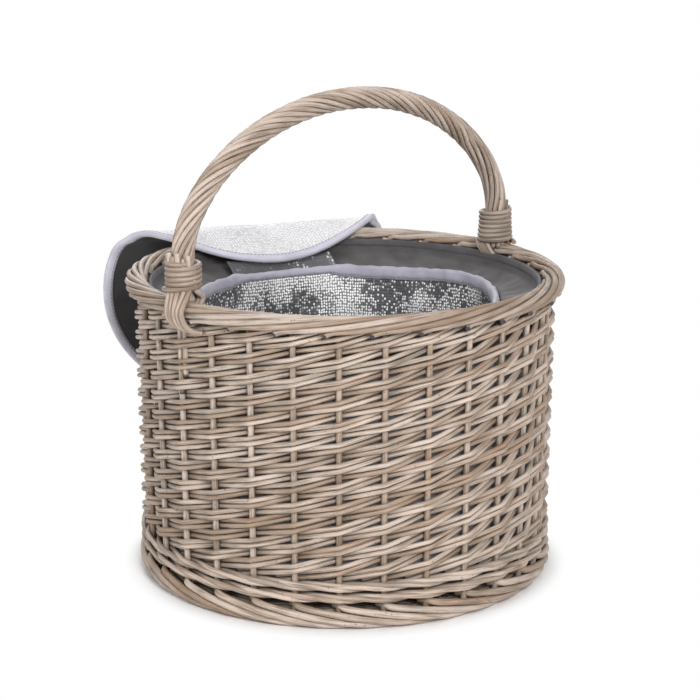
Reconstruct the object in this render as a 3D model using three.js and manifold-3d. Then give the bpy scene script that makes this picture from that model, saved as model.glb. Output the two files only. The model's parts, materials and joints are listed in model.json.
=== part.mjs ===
// Round willow picnic basket with a fixed roped handle and an insulated lining bag.
// Millimetres, +Z up. The origin is on the basket's axis at floor level, +X runs along the
// hinge of the soft lid and +Y points to the side on which the open lid hangs.
import * as THREE from 'three';
import { mergeVertices } from 'three/addons/utils/BufferGeometryUtils.js';
import Module from 'manifold-3d';

const wasm = await Module();
wasm.setup();

// Gap that two touching pieces keep
const CLEARANCE = 0.3;

// Stakes: the upright rods of the wall, leaning out a little towards the rim
const STAKE_COUNT = 30;
const STAKE_RADIUS = 2.6;
const STAKE_CIRCLE = 163.8;
const STAKE_LEAN = 2.7;
const STAKE_PHASE = 0.5;

// Wall height and the bands of weaving, from the floor up
const RIM_TOP = 249;
const FOOT_HEIGHT = 20;
const WALE_ROWS = 2;
const WALE_ROW_HEIGHT = 8.2;
const COURSE_COUNT = 12;
const WEAVER_THICKNESS = 4;
const CROSSING_HALF_LENGTH = 9.5;

// Rolled borders: rods laid over one another like a rope, at the foot and at the rim.
// An overhang is how far a border's middle stands out past the circle of the stakes. Twists are
// whole turns of the lay round the basket, so that the ring closes on itself.
const BORDER_OVERHANG = 4;
const BORDER_HALF_WIDTH = 9.5;
const BORDER_HALF_HEIGHT = 7.5;
const BORDER_TWISTS = 3;
const FOOT_OVERHANG = 1.2;
const FOOT_HALF_WIDTH = 7.2;
const FOOT_FLAT_DEPTH = 1.5;
const FOOT_TWISTS = -3;
const BORDER_LOBES = 4;
const LOBE_DEPTH = 0.07;
const RING_STEPS = 60;

// Woven base: round sticks crossing at the middle, with a spiral of weaving over them
const BASE_UNDERSIDE = 2;
const BASE_STICKS = 6;
const BASE_STICK_WIDTH = 6;
const BASE_STICK_HEIGHT = 7;
const BASE_WEAVE_HEIGHT = 8;
const BASE_RIDGES = 4;
const BASE_RIDGE_DEPTH = 1.6;
const BASE_STEPS = 24;

// Handle: a bow rod sprung over the basket, five rods roped round it and a lashing at each end
const HANDLE_RISE = 148;
const BOW_RADIUS = 3.1;
const BOW_STEPS = 44;
const SPIKE_DEPTH = 62;
const STRAND_COUNT = 5;
const STRAND_RADIUS = 2.9;
const STRAND_TURNS = 5;
const STRAND_STEPS = 48;
const LEG_STAKES = [1, 16];
const LEG_SIDES = [-1, 1];
const SHOULDER_RISE = 42;
const SHOULDER_REACH = 104;
const LASHING_RADIUS = 2.1;
const LASHING_TURNS = 4.25;
const LASHING_GAP = 0.6;
const LASHING_FOOT = 8;
const LASHING_STEPS_PER_TURN = 16;

// Lining: a padded bag that stands on the base, and a skirt from its mouth up to the rim
const BAG_WALL = 4.5;
const BAG_ROOM = 7.9;
const BAG_CORNER = 14;
const BAG_SHOULDER = 165;
const MOUTH_SIDE_DRAW = 20;
const MOUTH_FRONT_DRAW = 37;
const MOUTH_TAPE_WIDTH = 7;
const MOUTH_TAPE_HEIGHT = 10;
const MOUTH_DROP = 23;
const SKIRT_THICKNESS = 2;
const SKIRT_STAND = 11;
const SKIRT_TOP_DROP = 6;

// Soft lid: an oval padded panel, bent over the rim; it folds along the line where it bends
const LID_SIDE_OVERLAP = 2;
const LID_END_OVERLAP = 6;
const LID_EDGE_THICKNESS = 4;
const LID_CROWN = 3;
const LID_FOLD_OVERHANG = 0.3;
const LID_RIM_GAP = 1.1;
const LID_HANG_BOW = 15;
const LID_HINGE_RISE = 6;
const LID_HINGE_SETBACK = 1.5;
const HINGE_STRIP_WIDTH = 100;
const HINGE_STRIP_THICKNESS = 1.2;

// Facets: sides of the rods and steps of the soft pieces
const STAKE_SIDES = 6;
const BOW_SIDES = 6;
const STRAND_SIDES = 5;
const LASHING_SIDES = 6;
const HOLE_SIDES = 12;
const LINING_STEPS = 48;
const LID_COLUMNS = 10;
const LID_NEAR_ROWS = 6;
const LID_FAR_ROWS = 12;

// Search for the slope and the saddle at which the lid rides on the rim
const LID_RIDE_SAMPLES = 40;
const SEARCH_STEPS = 24;

const radians = THREE.MathUtils.degToRad;

const willow = new THREE.MeshStandardMaterial({ color: 0x9c8a74, roughness: 0.65, metalness: 0 });
const willowPale = new THREE.MeshStandardMaterial({ color: 0xb09f88, roughness: 0.62, metalness: 0 });
const willowDark = new THREE.MeshStandardMaterial({ color: 0x857460, roughness: 0.7, metalness: 0 });
const foil = new THREE.MeshStandardMaterial({ color: 0xc9ccd0, roughness: 0.3, metalness: 0.9 });
const greyCloth = new THREE.MeshStandardMaterial({ color: 0x66676b, roughness: 0.9, metalness: 0 });

const basket = new THREE.Group();

function addPiece(parent, name, geometry, material) {
  const piece = new THREE.Mesh(geometry, material);
  piece.name = name;
  parent.add(piece);
  return piece;
}

// Manifold joins and cuts: a closed geometry becomes a solid, and the result a geometry again
function toSolid(geometry) {
  const bare = geometry.clone();
  bare.deleteAttribute('normal');
  bare.deleteAttribute('uv');
  const merged = mergeVertices(bare, 1e-4);
  return new wasm.Manifold(new wasm.Mesh({
    numProp: 3,
    vertProperties: Float32Array.from(merged.attributes.position.array),
    triVerts: Uint32Array.from(merged.index.array),
  }));
}

function toGeometry(solid) {
  const mesh = solid.getMesh();
  const geometry = new THREE.BufferGeometry();
  geometry.setAttribute('position', new THREE.BufferAttribute(mesh.vertProperties, 3));
  geometry.setIndex(new THREE.BufferAttribute(mesh.triVerts, 1));
  geometry.computeVertexNormals();
  return geometry;
}

function indexedGeometry(points, triangles) {
  const geometry = new THREE.BufferGeometry();
  geometry.setAttribute('position', new THREE.Float32BufferAttribute(points.flat(), 3));
  geometry.setIndex(triangles.flat());
  geometry.computeVertexNormals();
  return geometry;
}

// A closed ring: the section is a loop of points that is carried once round the axis.
// sectionAt(turn) gives the loop as [x, y, z] points, anticlockwise seen along the travel.
function ringSolid(sectionAt, steps) {
  const points = [];
  const triangles = [];
  const count = sectionAt(0).length;
  for (let step = 0; step < steps; step += 1) {
    points.push(...sectionAt(step / steps));
    const next = (step + 1) % steps;
    for (let side = 0; side < count; side += 1) {
      const beside = (side + 1) % count;
      const a = step * count + side;
      const b = step * count + beside;
      const c = next * count + beside;
      const d = next * count + side;
      triangles.push([a, c, b], [a, d, c]);
    }
  }
  return indexedGeometry(points, triangles);
}

// A solid rod along a curve, with a radius that may change and flat ends
function rodSolid(curve, steps, sides, radiusAt) {
  const frames = curve.computeFrenetFrames(steps, false);
  const points = [];
  const triangles = [];
  for (let step = 0; step <= steps; step += 1) {
    const centre = curve.getPointAt(step / steps);
    const radius = radiusAt(step / steps);
    for (let side = 0; side < sides; side += 1) {
      const angle = 2 * Math.PI * side / sides;
      const point = centre.clone()
        .addScaledVector(frames.normals[step], radius * Math.cos(angle))
        .addScaledVector(frames.binormals[step], radius * Math.sin(angle));
      points.push(point.toArray());
      if (step === steps) continue;
      const beside = (side + 1) % sides;
      const a = step * sides + side;
      const b = step * sides + beside;
      triangles.push([a, b, b + sides], [a, b + sides, a + sides]);
    }
  }
  const last = steps * sides;
  for (let side = 1; side < sides - 1; side += 1) {
    triangles.push([0, side + 1, side], [last, last + side, last + side + 1]);
  }
  return indexedGeometry(points, triangles);
}

// Stakes

const stakeCircleRim = STAKE_CIRCLE + STAKE_LEAN;
const borderRadius = stakeCircleRim + BORDER_OVERHANG;
const borderBottom = RIM_TOP - 2 * BORDER_HALF_HEIGHT;
const stakeBottom = FOOT_HEIGHT + CLEARANCE;

function stakeCircle(z) {
  const share = (z - stakeBottom) / (borderBottom - stakeBottom);
  return STAKE_CIRCLE + STAKE_LEAN * share;
}

function stakeAngle(index) {
  return radians(STAKE_PHASE) + 2 * Math.PI * index / STAKE_COUNT;
}

// Half of the border's height above a circle that is off the middle of the border
function borderHalfHeightAt(radius) {
  const offset = (radius - borderRadius) / BORDER_HALF_WIDTH;
  return BORDER_HALF_HEIGHT * Math.sqrt(Math.max(0, 1 - offset * offset));
}

const borderMiddle = RIM_TOP - BORDER_HALF_HEIGHT;
const stakeTop = borderMiddle - borderHalfHeightAt(stakeCircleRim + STAKE_RADIUS) - CLEARANCE;
const stakeLean = Math.atan2(stakeCircle(stakeTop) - stakeCircle(stakeBottom), stakeTop - stakeBottom);

for (let index = 0; index < STAKE_COUNT; index += 1) {
  const place = new THREE.Group();
  place.rotation.z = stakeAngle(index);
  basket.add(place);
  const length = (stakeTop - stakeBottom) / Math.cos(stakeLean) - 2 * STAKE_RADIUS * Math.tan(stakeLean);
  const rod = new THREE.CylinderGeometry(STAKE_RADIUS, STAKE_RADIUS, length, STAKE_SIDES);
  rod.rotateX(Math.PI / 2);
  const stake = addPiece(place, `stake_${String(index + 1).padStart(2, '0')}`, rod, willowDark);
  const middle = (stakeTop + stakeBottom) / 2;
  stake.position.set(stakeCircle(middle), 0, middle);
  stake.rotation.y = stakeLean;
}

// Weaving: each band passes in front of some stakes and behind the others

const crossingOffset = STAKE_RADIUS + CLEARANCE + WEAVER_THICKNESS / 2;

function weaveLoop(z, isFront, sideOffset) {
  const circle = stakeCircle(z);
  const spread = Math.atan2(CROSSING_HALF_LENGTH, circle);
  const loop = [];
  for (let index = 0; index < STAKE_COUNT; index += 1) {
    const crossing = isFront(index) ? crossingOffset : -crossingOffset;
    const radius = (circle + crossing + sideOffset) / Math.cos(spread);
    for (const turn of [-spread, spread]) {
      const angle = stakeAngle(index) + turn;
      loop.push(new THREE.Vector2(radius * Math.cos(angle), radius * Math.sin(angle)));
    }
  }
  return loop;
}

function weaveBand(bottom, height, isFront) {
  const middle = bottom + height / 2;
  const outline = new THREE.Shape(weaveLoop(middle, isFront, WEAVER_THICKNESS / 2));
  outline.holes.push(new THREE.Path(weaveLoop(middle, isFront, -WEAVER_THICKNESS / 2)));
  const band = new THREE.ExtrudeGeometry(outline, { depth: height, bevelEnabled: false });
  band.translate(0, 0, bottom);
  return band;
}

// Three-rod wale above the foot: over two stakes and behind the third, moved on one stake a row
for (let row = 0; row < WALE_ROWS; row += 1) {
  const bottom = FOOT_HEIGHT + CLEARANCE + row * (WALE_ROW_HEIGHT + CLEARANCE);
  const band = weaveBand(bottom, WALE_ROW_HEIGHT, (index) => (index + row) % 3 !== 0);
  addPiece(basket, `upsett_wale_${row + 1}`, band, willowPale);
}

// Siding: plain weaving, each course the other way round from the one below it
const sidingBottom = FOOT_HEIGHT + CLEARANCE + WALE_ROWS * (WALE_ROW_HEIGHT + CLEARANCE);
const coursePitch = (borderBottom - sidingBottom) / COURSE_COUNT;

for (let course = 0; course < COURSE_COUNT; course += 1) {
  const bottom = sidingBottom + course * coursePitch;
  const band = weaveBand(bottom, coursePitch - CLEARANCE, (index) => (index + course) % 2 === 0);
  addPiece(basket, `siding_course_${String(course + 1).padStart(2, '0')}`, band, willow);
}

// Rolled borders, their section lobed and turning like the lay of a rope

function rolledBorder(radius, halfWidth, bottom, halfHeight, twists) {
  const sectionPoints = 2 * BORDER_LOBES;
  const sectionAt = (turn) => {
    const angle = 2 * Math.PI * turn;
    const section = [];
    for (let side = 0; side < sectionPoints; side += 1) {
      const around = 2 * Math.PI * (side / sectionPoints + twists * turn);
      const swell = side % 2 === 0 ? 1 : 1 - LOBE_DEPTH;
      const reach = radius + halfWidth * swell * Math.cos(around);
      const z = bottom + halfHeight * (1 + swell * Math.sin(around));
      section.push([reach * Math.cos(angle), reach * Math.sin(angle), z]);
    }
    return section;
  };
  return ringSolid(sectionAt, RING_STEPS);
}

// The foot border is worn flat where it stands on the floor
const footRadius = STAKE_CIRCLE + FOOT_OVERHANG;
const footHalfHeight = (FOOT_HEIGHT + FOOT_FLAT_DEPTH) / 2;
const footRoll = rolledBorder(footRadius, FOOT_HALF_WIDTH, -FOOT_FLAT_DEPTH, footHalfHeight, FOOT_TWISTS);
const footSpan = 2 * (footRadius + 2 * FOOT_HALF_WIDTH);
const underFloor = new THREE.BoxGeometry(footSpan, footSpan, FOOT_HEIGHT);
underFloor.translate(0, 0, -FOOT_HEIGHT / 2);
const footBorder = toSolid(footRoll).subtract(toSolid(underFloor));
addPiece(basket, 'foot_border', toGeometry(footBorder), willowPale);

// Base: sticks crossing under a ridged disc, fused where the weaving grips them

const baseRadius = footRadius - FOOT_HALF_WIDTH - CLEARANCE;
const baseWeaveBottom = BASE_UNDERSIDE + BASE_STICK_HEIGHT / 2;
const baseTop = baseWeaveBottom + BASE_WEAVE_HEIGHT;

function baseDisc() {
  const profile = [new THREE.Vector2(0, baseWeaveBottom + BASE_RIDGE_DEPTH)];
  const ridgeWidth = baseRadius / BASE_RIDGES;
  for (let ridge = 0; ridge < BASE_RIDGES; ridge += 1) {
    profile.push(new THREE.Vector2((ridge + 0.5) * ridgeWidth, baseWeaveBottom));
    profile.push(new THREE.Vector2((ridge + 1) * ridgeWidth, baseWeaveBottom + BASE_RIDGE_DEPTH));
  }
  for (let ridge = BASE_RIDGES - 1; ridge >= 0; ridge -= 1) {
    profile.push(new THREE.Vector2((ridge + 1) * ridgeWidth, baseTop - BASE_RIDGE_DEPTH));
    profile.push(new THREE.Vector2((ridge + 0.5) * ridgeWidth, baseTop));
  }
  profile.push(new THREE.Vector2(0, baseTop - BASE_RIDGE_DEPTH));
  const disc = new THREE.LatheGeometry(profile, BASE_STEPS);
  disc.rotateX(Math.PI / 2);
  return disc;
}

const stickLength = 2 * (baseRadius - BASE_STICK_WIDTH);
let wovenBase = toSolid(baseDisc());
for (let index = 0; index < BASE_STICKS; index += 1) {
  const stick = new THREE.BoxGeometry(stickLength, BASE_STICK_WIDTH, BASE_STICK_HEIGHT);
  stick.translate(0, 0, BASE_UNDERSIDE + BASE_STICK_HEIGHT / 2);
  stick.rotateZ(Math.PI * index / BASE_STICKS);
  wovenBase = wovenBase.add(toSolid(stick));
}
addPiece(basket, 'woven_base', toGeometry(wovenBase), willow);

// Handle: a hoop in its own upright plane, whose spikes go down beside two stakes

const spikeTurn = Math.atan2(2 * STAKE_RADIUS + CLEARANCE, stakeCircle(borderBottom));
const legAngles = LEG_STAKES.map((index, leg) => stakeAngle(index) + LEG_SIDES[leg] * spikeTurn);
const handleTurn = (legAngles[0] + legAngles[1] - Math.PI) / 2;
const handleHalfAngle = (legAngles[1] - legAngles[0]) / 2;
const handleOffset = stakeCircle(borderBottom) * Math.cos(handleHalfAngle);
const legSpread = (z) => stakeCircle(z) * Math.sin(handleHalfAngle);

// The flats of a faceted winding lie nearer its core than its corners, so its circle is widened
function windingCircle(core, radius, stepsPerTurn) {
  return (core + CLEARANCE) / Math.cos(Math.PI / stepsPerTurn) + radius;
}

const strandCircle = windingCircle(BOW_RADIUS, STRAND_RADIUS, STRAND_STEPS / STRAND_TURNS);
const hoopTop = RIM_TOP + HANDLE_RISE - strandCircle - STRAND_RADIUS;
const legReach = legSpread(borderBottom);
const lashingPitch = 2 * LASHING_RADIUS + LASHING_GAP;
const lashingBottom = RIM_TOP + LASHING_FOOT + LASHING_RADIUS;
const shoulder = lashingBottom + lashingPitch * LASHING_TURNS + LASHING_RADIUS;
const spikeTip = borderBottom - SPIKE_DEPTH;

const handle = new THREE.Group();
handle.rotation.z = handleTurn;
basket.add(handle);
const handleFrame = new THREE.Group();
handleFrame.position.y = handleOffset;
handle.add(handleFrame);

function hoopPoint(reach, z) {
  return new THREE.Vector3(reach, 0, z);
}

function hoopCurve(legBottom) {
  const hoop = new THREE.CurvePath();
  const crown = hoopPoint(0, hoopTop);
  hoop.add(new THREE.LineCurve3(hoopPoint(-legReach, legBottom), hoopPoint(-legReach, shoulder)));
  hoop.add(new THREE.CubicBezierCurve3(
    hoopPoint(-legReach, shoulder), hoopPoint(-legReach, shoulder + SHOULDER_RISE),
    hoopPoint(-SHOULDER_REACH, hoopTop), crown,
  ));
  hoop.add(new THREE.CubicBezierCurve3(
    crown, hoopPoint(SHOULDER_REACH, hoopTop),
    hoopPoint(legReach, shoulder + SHOULDER_RISE), hoopPoint(legReach, shoulder),
  ));
  hoop.add(new THREE.LineCurve3(hoopPoint(legReach, shoulder), hoopPoint(legReach, legBottom)));
  return hoop;
}

// The bow is one rod: its ends are cut slim and follow the lean of the stakes they are pushed beside
const bowCurve = hoopCurve(borderBottom);
const spikeEnd = (side) => hoopPoint(side * legSpread(spikeTip), spikeTip);
bowCurve.curves.unshift(new THREE.LineCurve3(spikeEnd(-1), hoopPoint(-legReach, borderBottom)));
bowCurve.add(new THREE.LineCurve3(hoopPoint(legReach, borderBottom), spikeEnd(1)));
const bowLength = bowCurve.getLength();
const slimShare = (RIM_TOP - spikeTip) / bowLength + 1 / BOW_STEPS;
const bowRadius = (share) => (Math.min(share, 1 - share) <= slimShare ? STAKE_RADIUS : BOW_RADIUS);
addPiece(handleFrame, 'handle_bow', rodSolid(bowCurve, BOW_STEPS, BOW_SIDES, bowRadius), willowDark);

// Five rods roped round the bow, standing on the rim at both ends

class RopedRod extends THREE.Curve {
  constructor(hoop, phase) {
    super();
    this.hoop = hoop;
    this.phase = phase;
  }

  getPoint(share, target = new THREE.Vector3()) {
    const along = this.hoop.getTangentAt(share);
    const across = new THREE.Vector3(0, 1, 0);
    const outward = new THREE.Vector3().crossVectors(along, across);
    const angle = this.phase + 2 * Math.PI * STRAND_TURNS * share;
    return target.copy(this.hoop.getPointAt(share))
      .addScaledVector(across, strandCircle * Math.cos(angle))
      .addScaledVector(outward, strandCircle * Math.sin(angle));
  }
}

const strandHoop = hoopCurve(RIM_TOP + STRAND_RADIUS / 2 + CLEARANCE);
for (let index = 0; index < STRAND_COUNT; index += 1) {
  const strand = new RopedRod(strandHoop, 2 * Math.PI * index / STRAND_COUNT);
  const rod = rodSolid(strand, STRAND_STEPS, STRAND_SIDES, () => STRAND_RADIUS);
  addPiece(handleFrame, `handle_strand_${index + 1}`, rod, index % 2 === 0 ? willow : willowPale);
}

// A lashing of one rod wound round each leg just above the rim

const legRadius = strandCircle + STRAND_RADIUS;
const lashingCircle = windingCircle(legRadius, LASHING_RADIUS, LASHING_STEPS_PER_TURN);

class Winding extends THREE.Curve {
  constructor(reach, bottom) {
    super();
    this.reach = reach;
    this.bottom = bottom;
  }

  getPoint(share, target = new THREE.Vector3()) {
    const angle = 2 * Math.PI * LASHING_TURNS * share;
    return target.set(
      this.reach + lashingCircle * Math.cos(angle),
      lashingCircle * Math.sin(angle),
      this.bottom + lashingPitch * LASHING_TURNS * share,
    );
  }
}

// Least gap between one turn of a winding and the turns beside it, measured on points of its curve
function leastGap(winding, radius) {
  const samples = winding.getSpacedPoints(Math.round(LASHING_TURNS * LASHING_STEPS_PER_TURN * 2));
  const skip = Math.round(samples.length / LASHING_TURNS / 2);
  let least = Infinity;
  for (let first = 0; first < samples.length; first += 1) {
    for (let second = first + skip; second < samples.length; second += 1) {
      least = Math.min(least, samples[first].distanceTo(samples[second]) - 2 * radius);
    }
  }
  return least;
}

for (const [name, side] of [['handle_lashing_left', -1], ['handle_lashing_right', 1]]) {
  const winding = new Winding(side * legReach, lashingBottom);
  const steps = Math.round(LASHING_TURNS * LASHING_STEPS_PER_TURN);
  addPiece(handleFrame, name, rodSolid(winding, steps, LASHING_SIDES, () => LASHING_RADIUS), willowPale);
  console.log(`${name}: least gap between turns ${leastGap(winding, LASHING_RADIUS).toFixed(2)} mm`);
}

// The rim border, with a hole where each spike of the bow goes through it

let rimBorder = toSolid(rolledBorder(
  borderRadius, BORDER_HALF_WIDTH, borderBottom, BORDER_HALF_HEIGHT, BORDER_TWISTS,
));
for (const angle of legAngles) {
  const hole = new THREE.CylinderGeometry(
    STAKE_RADIUS + CLEARANCE, STAKE_RADIUS + CLEARANCE, 4 * BORDER_HALF_HEIGHT, HOLE_SIDES,
  );
  hole.rotateX(Math.PI / 2);
  const circle = stakeCircle(borderBottom);
  hole.translate(circle * Math.cos(angle), circle * Math.sin(angle), borderMiddle);
  rimBorder = rimBorder.subtract(toSolid(hole));
}
addPiece(basket, 'rim_border', toGeometry(rimBorder), willowPale);

// Lining bag and skirt: round low down, drawn in to an oval mouth

// Point on an oval of the given half axes
function ovalPoint(turn, halfWidth, halfDepth, z) {
  const angle = 2 * Math.PI * turn;
  return [halfWidth * Math.cos(angle), halfDepth * Math.sin(angle), z];
}

// A cup: the profile runs from the axis under the floor, up the outside, over the mouth and down inside
function cupSolid(profile, steps) {
  const points = [];
  const triangles = [];
  const count = profile.length;
  for (let step = 0; step < steps; step += 1) {
    points.push(...profile.map(([width, depth, z]) => ovalPoint(step / steps, width, depth, z)));
    const next = ((step + 1) % steps) * count;
    for (let row = 0; row < count - 1; row += 1) {
      const a = step * count + row;
      const d = next + row;
      triangles.push([a, d, d + 1], [a, d + 1, a + 1]);
    }
  }
  const under = points.push([0, 0, profile[0][2]]) - 1;
  const inside = points.push([0, 0, profile[count - 1][2]]) - 1;
  for (let step = 0; step < steps; step += 1) {
    const next = (step + 1) % steps;
    triangles.push([under, next * count, step * count]);
    triangles.push([inside, step * count + count - 1, next * count + count - 1]);
  }
  return indexedGeometry(points, triangles);
}

// Inside of the weaving on a stake circle
const weaveInside = (circle) => circle - crossingOffset - WEAVER_THICKNESS / 2;
const bagRadius = weaveInside(STAKE_CIRCLE) - BAG_ROOM;
const bagBottom = baseTop + CLEARANCE;
const mouthTop = RIM_TOP - MOUTH_DROP;
const tapeBottom = mouthTop - MOUTH_TAPE_HEIGHT;
const mouthHalfWidth = bagRadius - MOUTH_SIDE_DRAW;
const mouthHalfDepth = bagRadius - MOUTH_FRONT_DRAW;
const neckWidth = mouthHalfWidth + BAG_WALL;
const neckDepth = mouthHalfDepth + BAG_WALL;
const tapeHalfWidth = mouthHalfWidth + MOUTH_TAPE_WIDTH;
const tapeHalfDepth = mouthHalfDepth + MOUTH_TAPE_WIDTH;
const innerRadius = bagRadius - BAG_WALL;

const bagProfile = [
  [bagRadius - BAG_CORNER, bagRadius - BAG_CORNER, bagBottom],
  [bagRadius, bagRadius, bagBottom + BAG_CORNER],
  [bagRadius, bagRadius, BAG_SHOULDER],
  [neckWidth, neckDepth, tapeBottom],
  [tapeHalfWidth, tapeHalfDepth, tapeBottom],
  [tapeHalfWidth, tapeHalfDepth, mouthTop],
  [mouthHalfWidth, mouthHalfDepth, mouthTop],
  [mouthHalfWidth, mouthHalfDepth, tapeBottom - BAG_WALL / 2],
  [innerRadius, innerRadius, BAG_SHOULDER - BAG_WALL / 2],
  [innerRadius, innerRadius, bagBottom + BAG_CORNER],
  [innerRadius - BAG_CORNER, innerRadius - BAG_CORNER, bagBottom + BAG_WALL],
];
addPiece(basket, 'cooler_bag', cupSolid(bagProfile, LINING_STEPS), foil);

const skirtRadius = Math.min(
  borderRadius - BORDER_HALF_WIDTH, weaveInside(stakeCircle(borderBottom)),
) - CLEARANCE;
const skirtTop = RIM_TOP - SKIRT_TOP_DROP;
const skirtFold = skirtTop - SKIRT_STAND;
const skirtInnerWidth = tapeHalfWidth + CLEARANCE;
const skirtInnerDepth = tapeHalfDepth + CLEARANCE;
const skirtFoot = mouthTop - MOUTH_TAPE_HEIGHT / 2;

function skirtSection(turn) {
  const lining = skirtRadius - SKIRT_THICKNESS;
  return [
    ovalPoint(turn, skirtRadius, skirtRadius, skirtTop),
    ovalPoint(turn, lining, lining, skirtTop),
    ovalPoint(turn, lining, lining, skirtFold + SKIRT_THICKNESS),
    ovalPoint(turn, skirtInnerWidth, skirtInnerDepth, skirtFoot),
    ovalPoint(turn, skirtInnerWidth, skirtInnerDepth, skirtFoot - SKIRT_THICKNESS),
    ovalPoint(turn, skirtRadius, skirtRadius, skirtFold),
  ];
}
addPiece(basket, 'lining_skirt', ringSolid(skirtSection, LINING_STEPS), greyCloth);

// Lid: two padded panels, the near one rising from the hinge over the rim, the far one hanging outside

const hingeY = tapeHalfDepth + LID_HINGE_SETBACK;
const hingeZ = mouthTop + LID_HINGE_RISE;
const lidHalfWidth = mouthHalfWidth + LID_SIDE_OVERLAP;
const lidHalfDepth = mouthHalfDepth + LID_END_OVERLAP;
const lidDepth = 2 * lidHalfDepth;
const lidHalfThickness = (LID_EDGE_THICKNESS + LID_CROWN) / 2;

// Gap that the middle of the near panel keeps to the border and the skirt, for a slope of the panel
function riseGap(slope) {
  const above = (y, z) => (y - hingeY) * Math.sin(slope) - (z - hingeZ) * Math.cos(slope);
  const border = Math.hypot(BORDER_HALF_WIDTH * Math.sin(slope), BORDER_HALF_HEIGHT * Math.cos(slope));
  const borderGap = above(borderRadius, borderMiddle) - border;
  const skirtGap = above(skirtRadius - SKIRT_THICKNESS, skirtTop);
  return Math.min(borderGap, skirtGap) - lidHalfThickness;
}

// Halves the range in which a rising measure reaches its goal
function whereReached(measure, goal, low, high) {
  for (let step = 0; step < SEARCH_STEPS; step += 1) {
    const middle = (low + high) / 2;
    if (measure(middle) < goal) low = middle;
    else high = middle;
  }
  return high;
}

const riseAngle = whereReached(riseGap, LID_RIM_GAP, 0, Math.PI / 2);
const foldY = borderRadius + BORDER_HALF_WIDTH + LID_FOLD_OVERHANG;
const foldZ = hingeZ + (foldY - hingeY) * Math.tan(riseAngle);
const nearLength = Math.hypot(foldY - hingeY, foldZ - hingeZ);
const farLength = lidDepth - nearLength;
const hangBow = radians(LID_HANG_BOW);
const hangSlope = hangBow - Math.PI / 2;
const foldTurn = riseAngle - hangSlope;
const foldTrim = lidHalfThickness * Math.tan(foldTurn / 2) + CLEARANCE;

function lidHalfWidthAt(along) {
  const offset = (along - lidHalfDepth) / lidHalfDepth;
  return lidHalfWidth * Math.sqrt(Math.max(0, 1 - offset * offset));
}

// Middle of the lid's thickness at a distance along it from the hinge: place and slope.
// Past the fold it hangs in a bow that is plumb at its lower end.
function lidProfile(along) {
  if (along <= nearLength) {
    return {
      y: hingeY + along * Math.cos(riseAngle),
      z: hingeZ + along * Math.sin(riseAngle),
      slope: riseAngle,
    };
  }
  const slope = hangSlope - hangBow * (along - nearLength) / farLength;
  const hangRadius = farLength / hangBow;
  return {
    y: foldY + hangRadius * (Math.sin(hangSlope) - Math.sin(slope)),
    z: foldZ + hangRadius * (Math.cos(slope) - Math.cos(hangSlope)),
    slope,
  };
}

// A point of the lid, whose sides are lifted by the saddle to ride up on the round rim
function lidPoint(along, across, face, saddle) {
  const { y, z, slope } = lidProfile(along);
  const x = across * lidHalfWidthAt(along);
  const crown = LID_CROWN * (1 - across * across);
  const ride = saddle * Math.max(0, 1 - along / nearLength) * (x / lidHalfWidth) ** 2;
  const lift = ride + face * (LID_EDGE_THICKNESS + crown) / 2;
  return [x, y - lift * Math.sin(slope), z + lift * Math.cos(slope)];
}

const nearStart = LID_EDGE_THICKNESS;
const nearEnd = nearLength - foldTrim;

// Least height of the near panel's underside above the rim border
function rimGap(saddle) {
  let least = Infinity;
  for (let row = 0; row <= LID_RIDE_SAMPLES; row += 1) {
    const along = THREE.MathUtils.lerp(nearStart, nearEnd, row / LID_RIDE_SAMPLES);
    for (let column = 0; column <= LID_RIDE_SAMPLES; column += 1) {
      const [x, y, z] = lidPoint(along, column / LID_RIDE_SAMPLES, -1, saddle);
      const reach = Math.hypot(x, y);
      if (Math.abs(reach - borderRadius) > BORDER_HALF_WIDTH) continue;
      least = Math.min(least, z - borderMiddle - borderHalfHeightAt(reach));
    }
  }
  return least;
}

const lidSaddle = whereReached(rimGap, CLEARANCE, 0, lidHalfWidth);

// A padded sheet: two faces of a grid over the oval, closed round its edge
function lidPanel(from, to, rows, columns) {
  const points = [];
  const triangles = [];
  const width = columns + 1;
  const sheet = (rows + 1) * width;
  for (const face of [1, -1]) {
    for (let row = 0; row <= rows; row += 1) {
      const along = THREE.MathUtils.lerp(from, to, row / rows);
      for (let column = 0; column <= columns; column += 1) {
        points.push(lidPoint(along, 2 * column / columns - 1, face, lidSaddle));
      }
    }
  }
  const quad = (a, b, c, d) => triangles.push([a, b, c], [a, c, d]);
  for (let row = 0; row < rows; row += 1) {
    for (let column = 0; column < columns; column += 1) {
      const a = row * width + column;
      quad(a, a + 1, a + width + 1, a + width);
      quad(sheet + a, sheet + a + width, sheet + a + width + 1, sheet + a + 1);
    }
    const left = row * width;
    const right = left + columns;
    quad(left, left + width, sheet + left + width, sheet + left);
    quad(right, sheet + right, sheet + right + width, right + width);
  }
  const end = rows * width;
  for (let column = 0; column < columns; column += 1) {
    quad(column, sheet + column, sheet + column + 1, column + 1);
    quad(end + column, end + column + 1, sheet + end + column + 1, sheet + end + column);
  }
  return indexedGeometry(points, triangles);
}

const nearPanel = lidPanel(nearStart, nearEnd, LID_NEAR_ROWS, LID_COLUMNS);
addPiece(basket, 'lid_near_panel', nearPanel, foil);
const farEnd = lidDepth - LID_EDGE_THICKNESS / 2;
const farPanel = lidPanel(nearLength + foldTrim, farEnd, LID_FAR_ROWS, LID_COLUMNS);
addPiece(basket, 'lid_far_panel', farPanel, foil);

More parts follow.
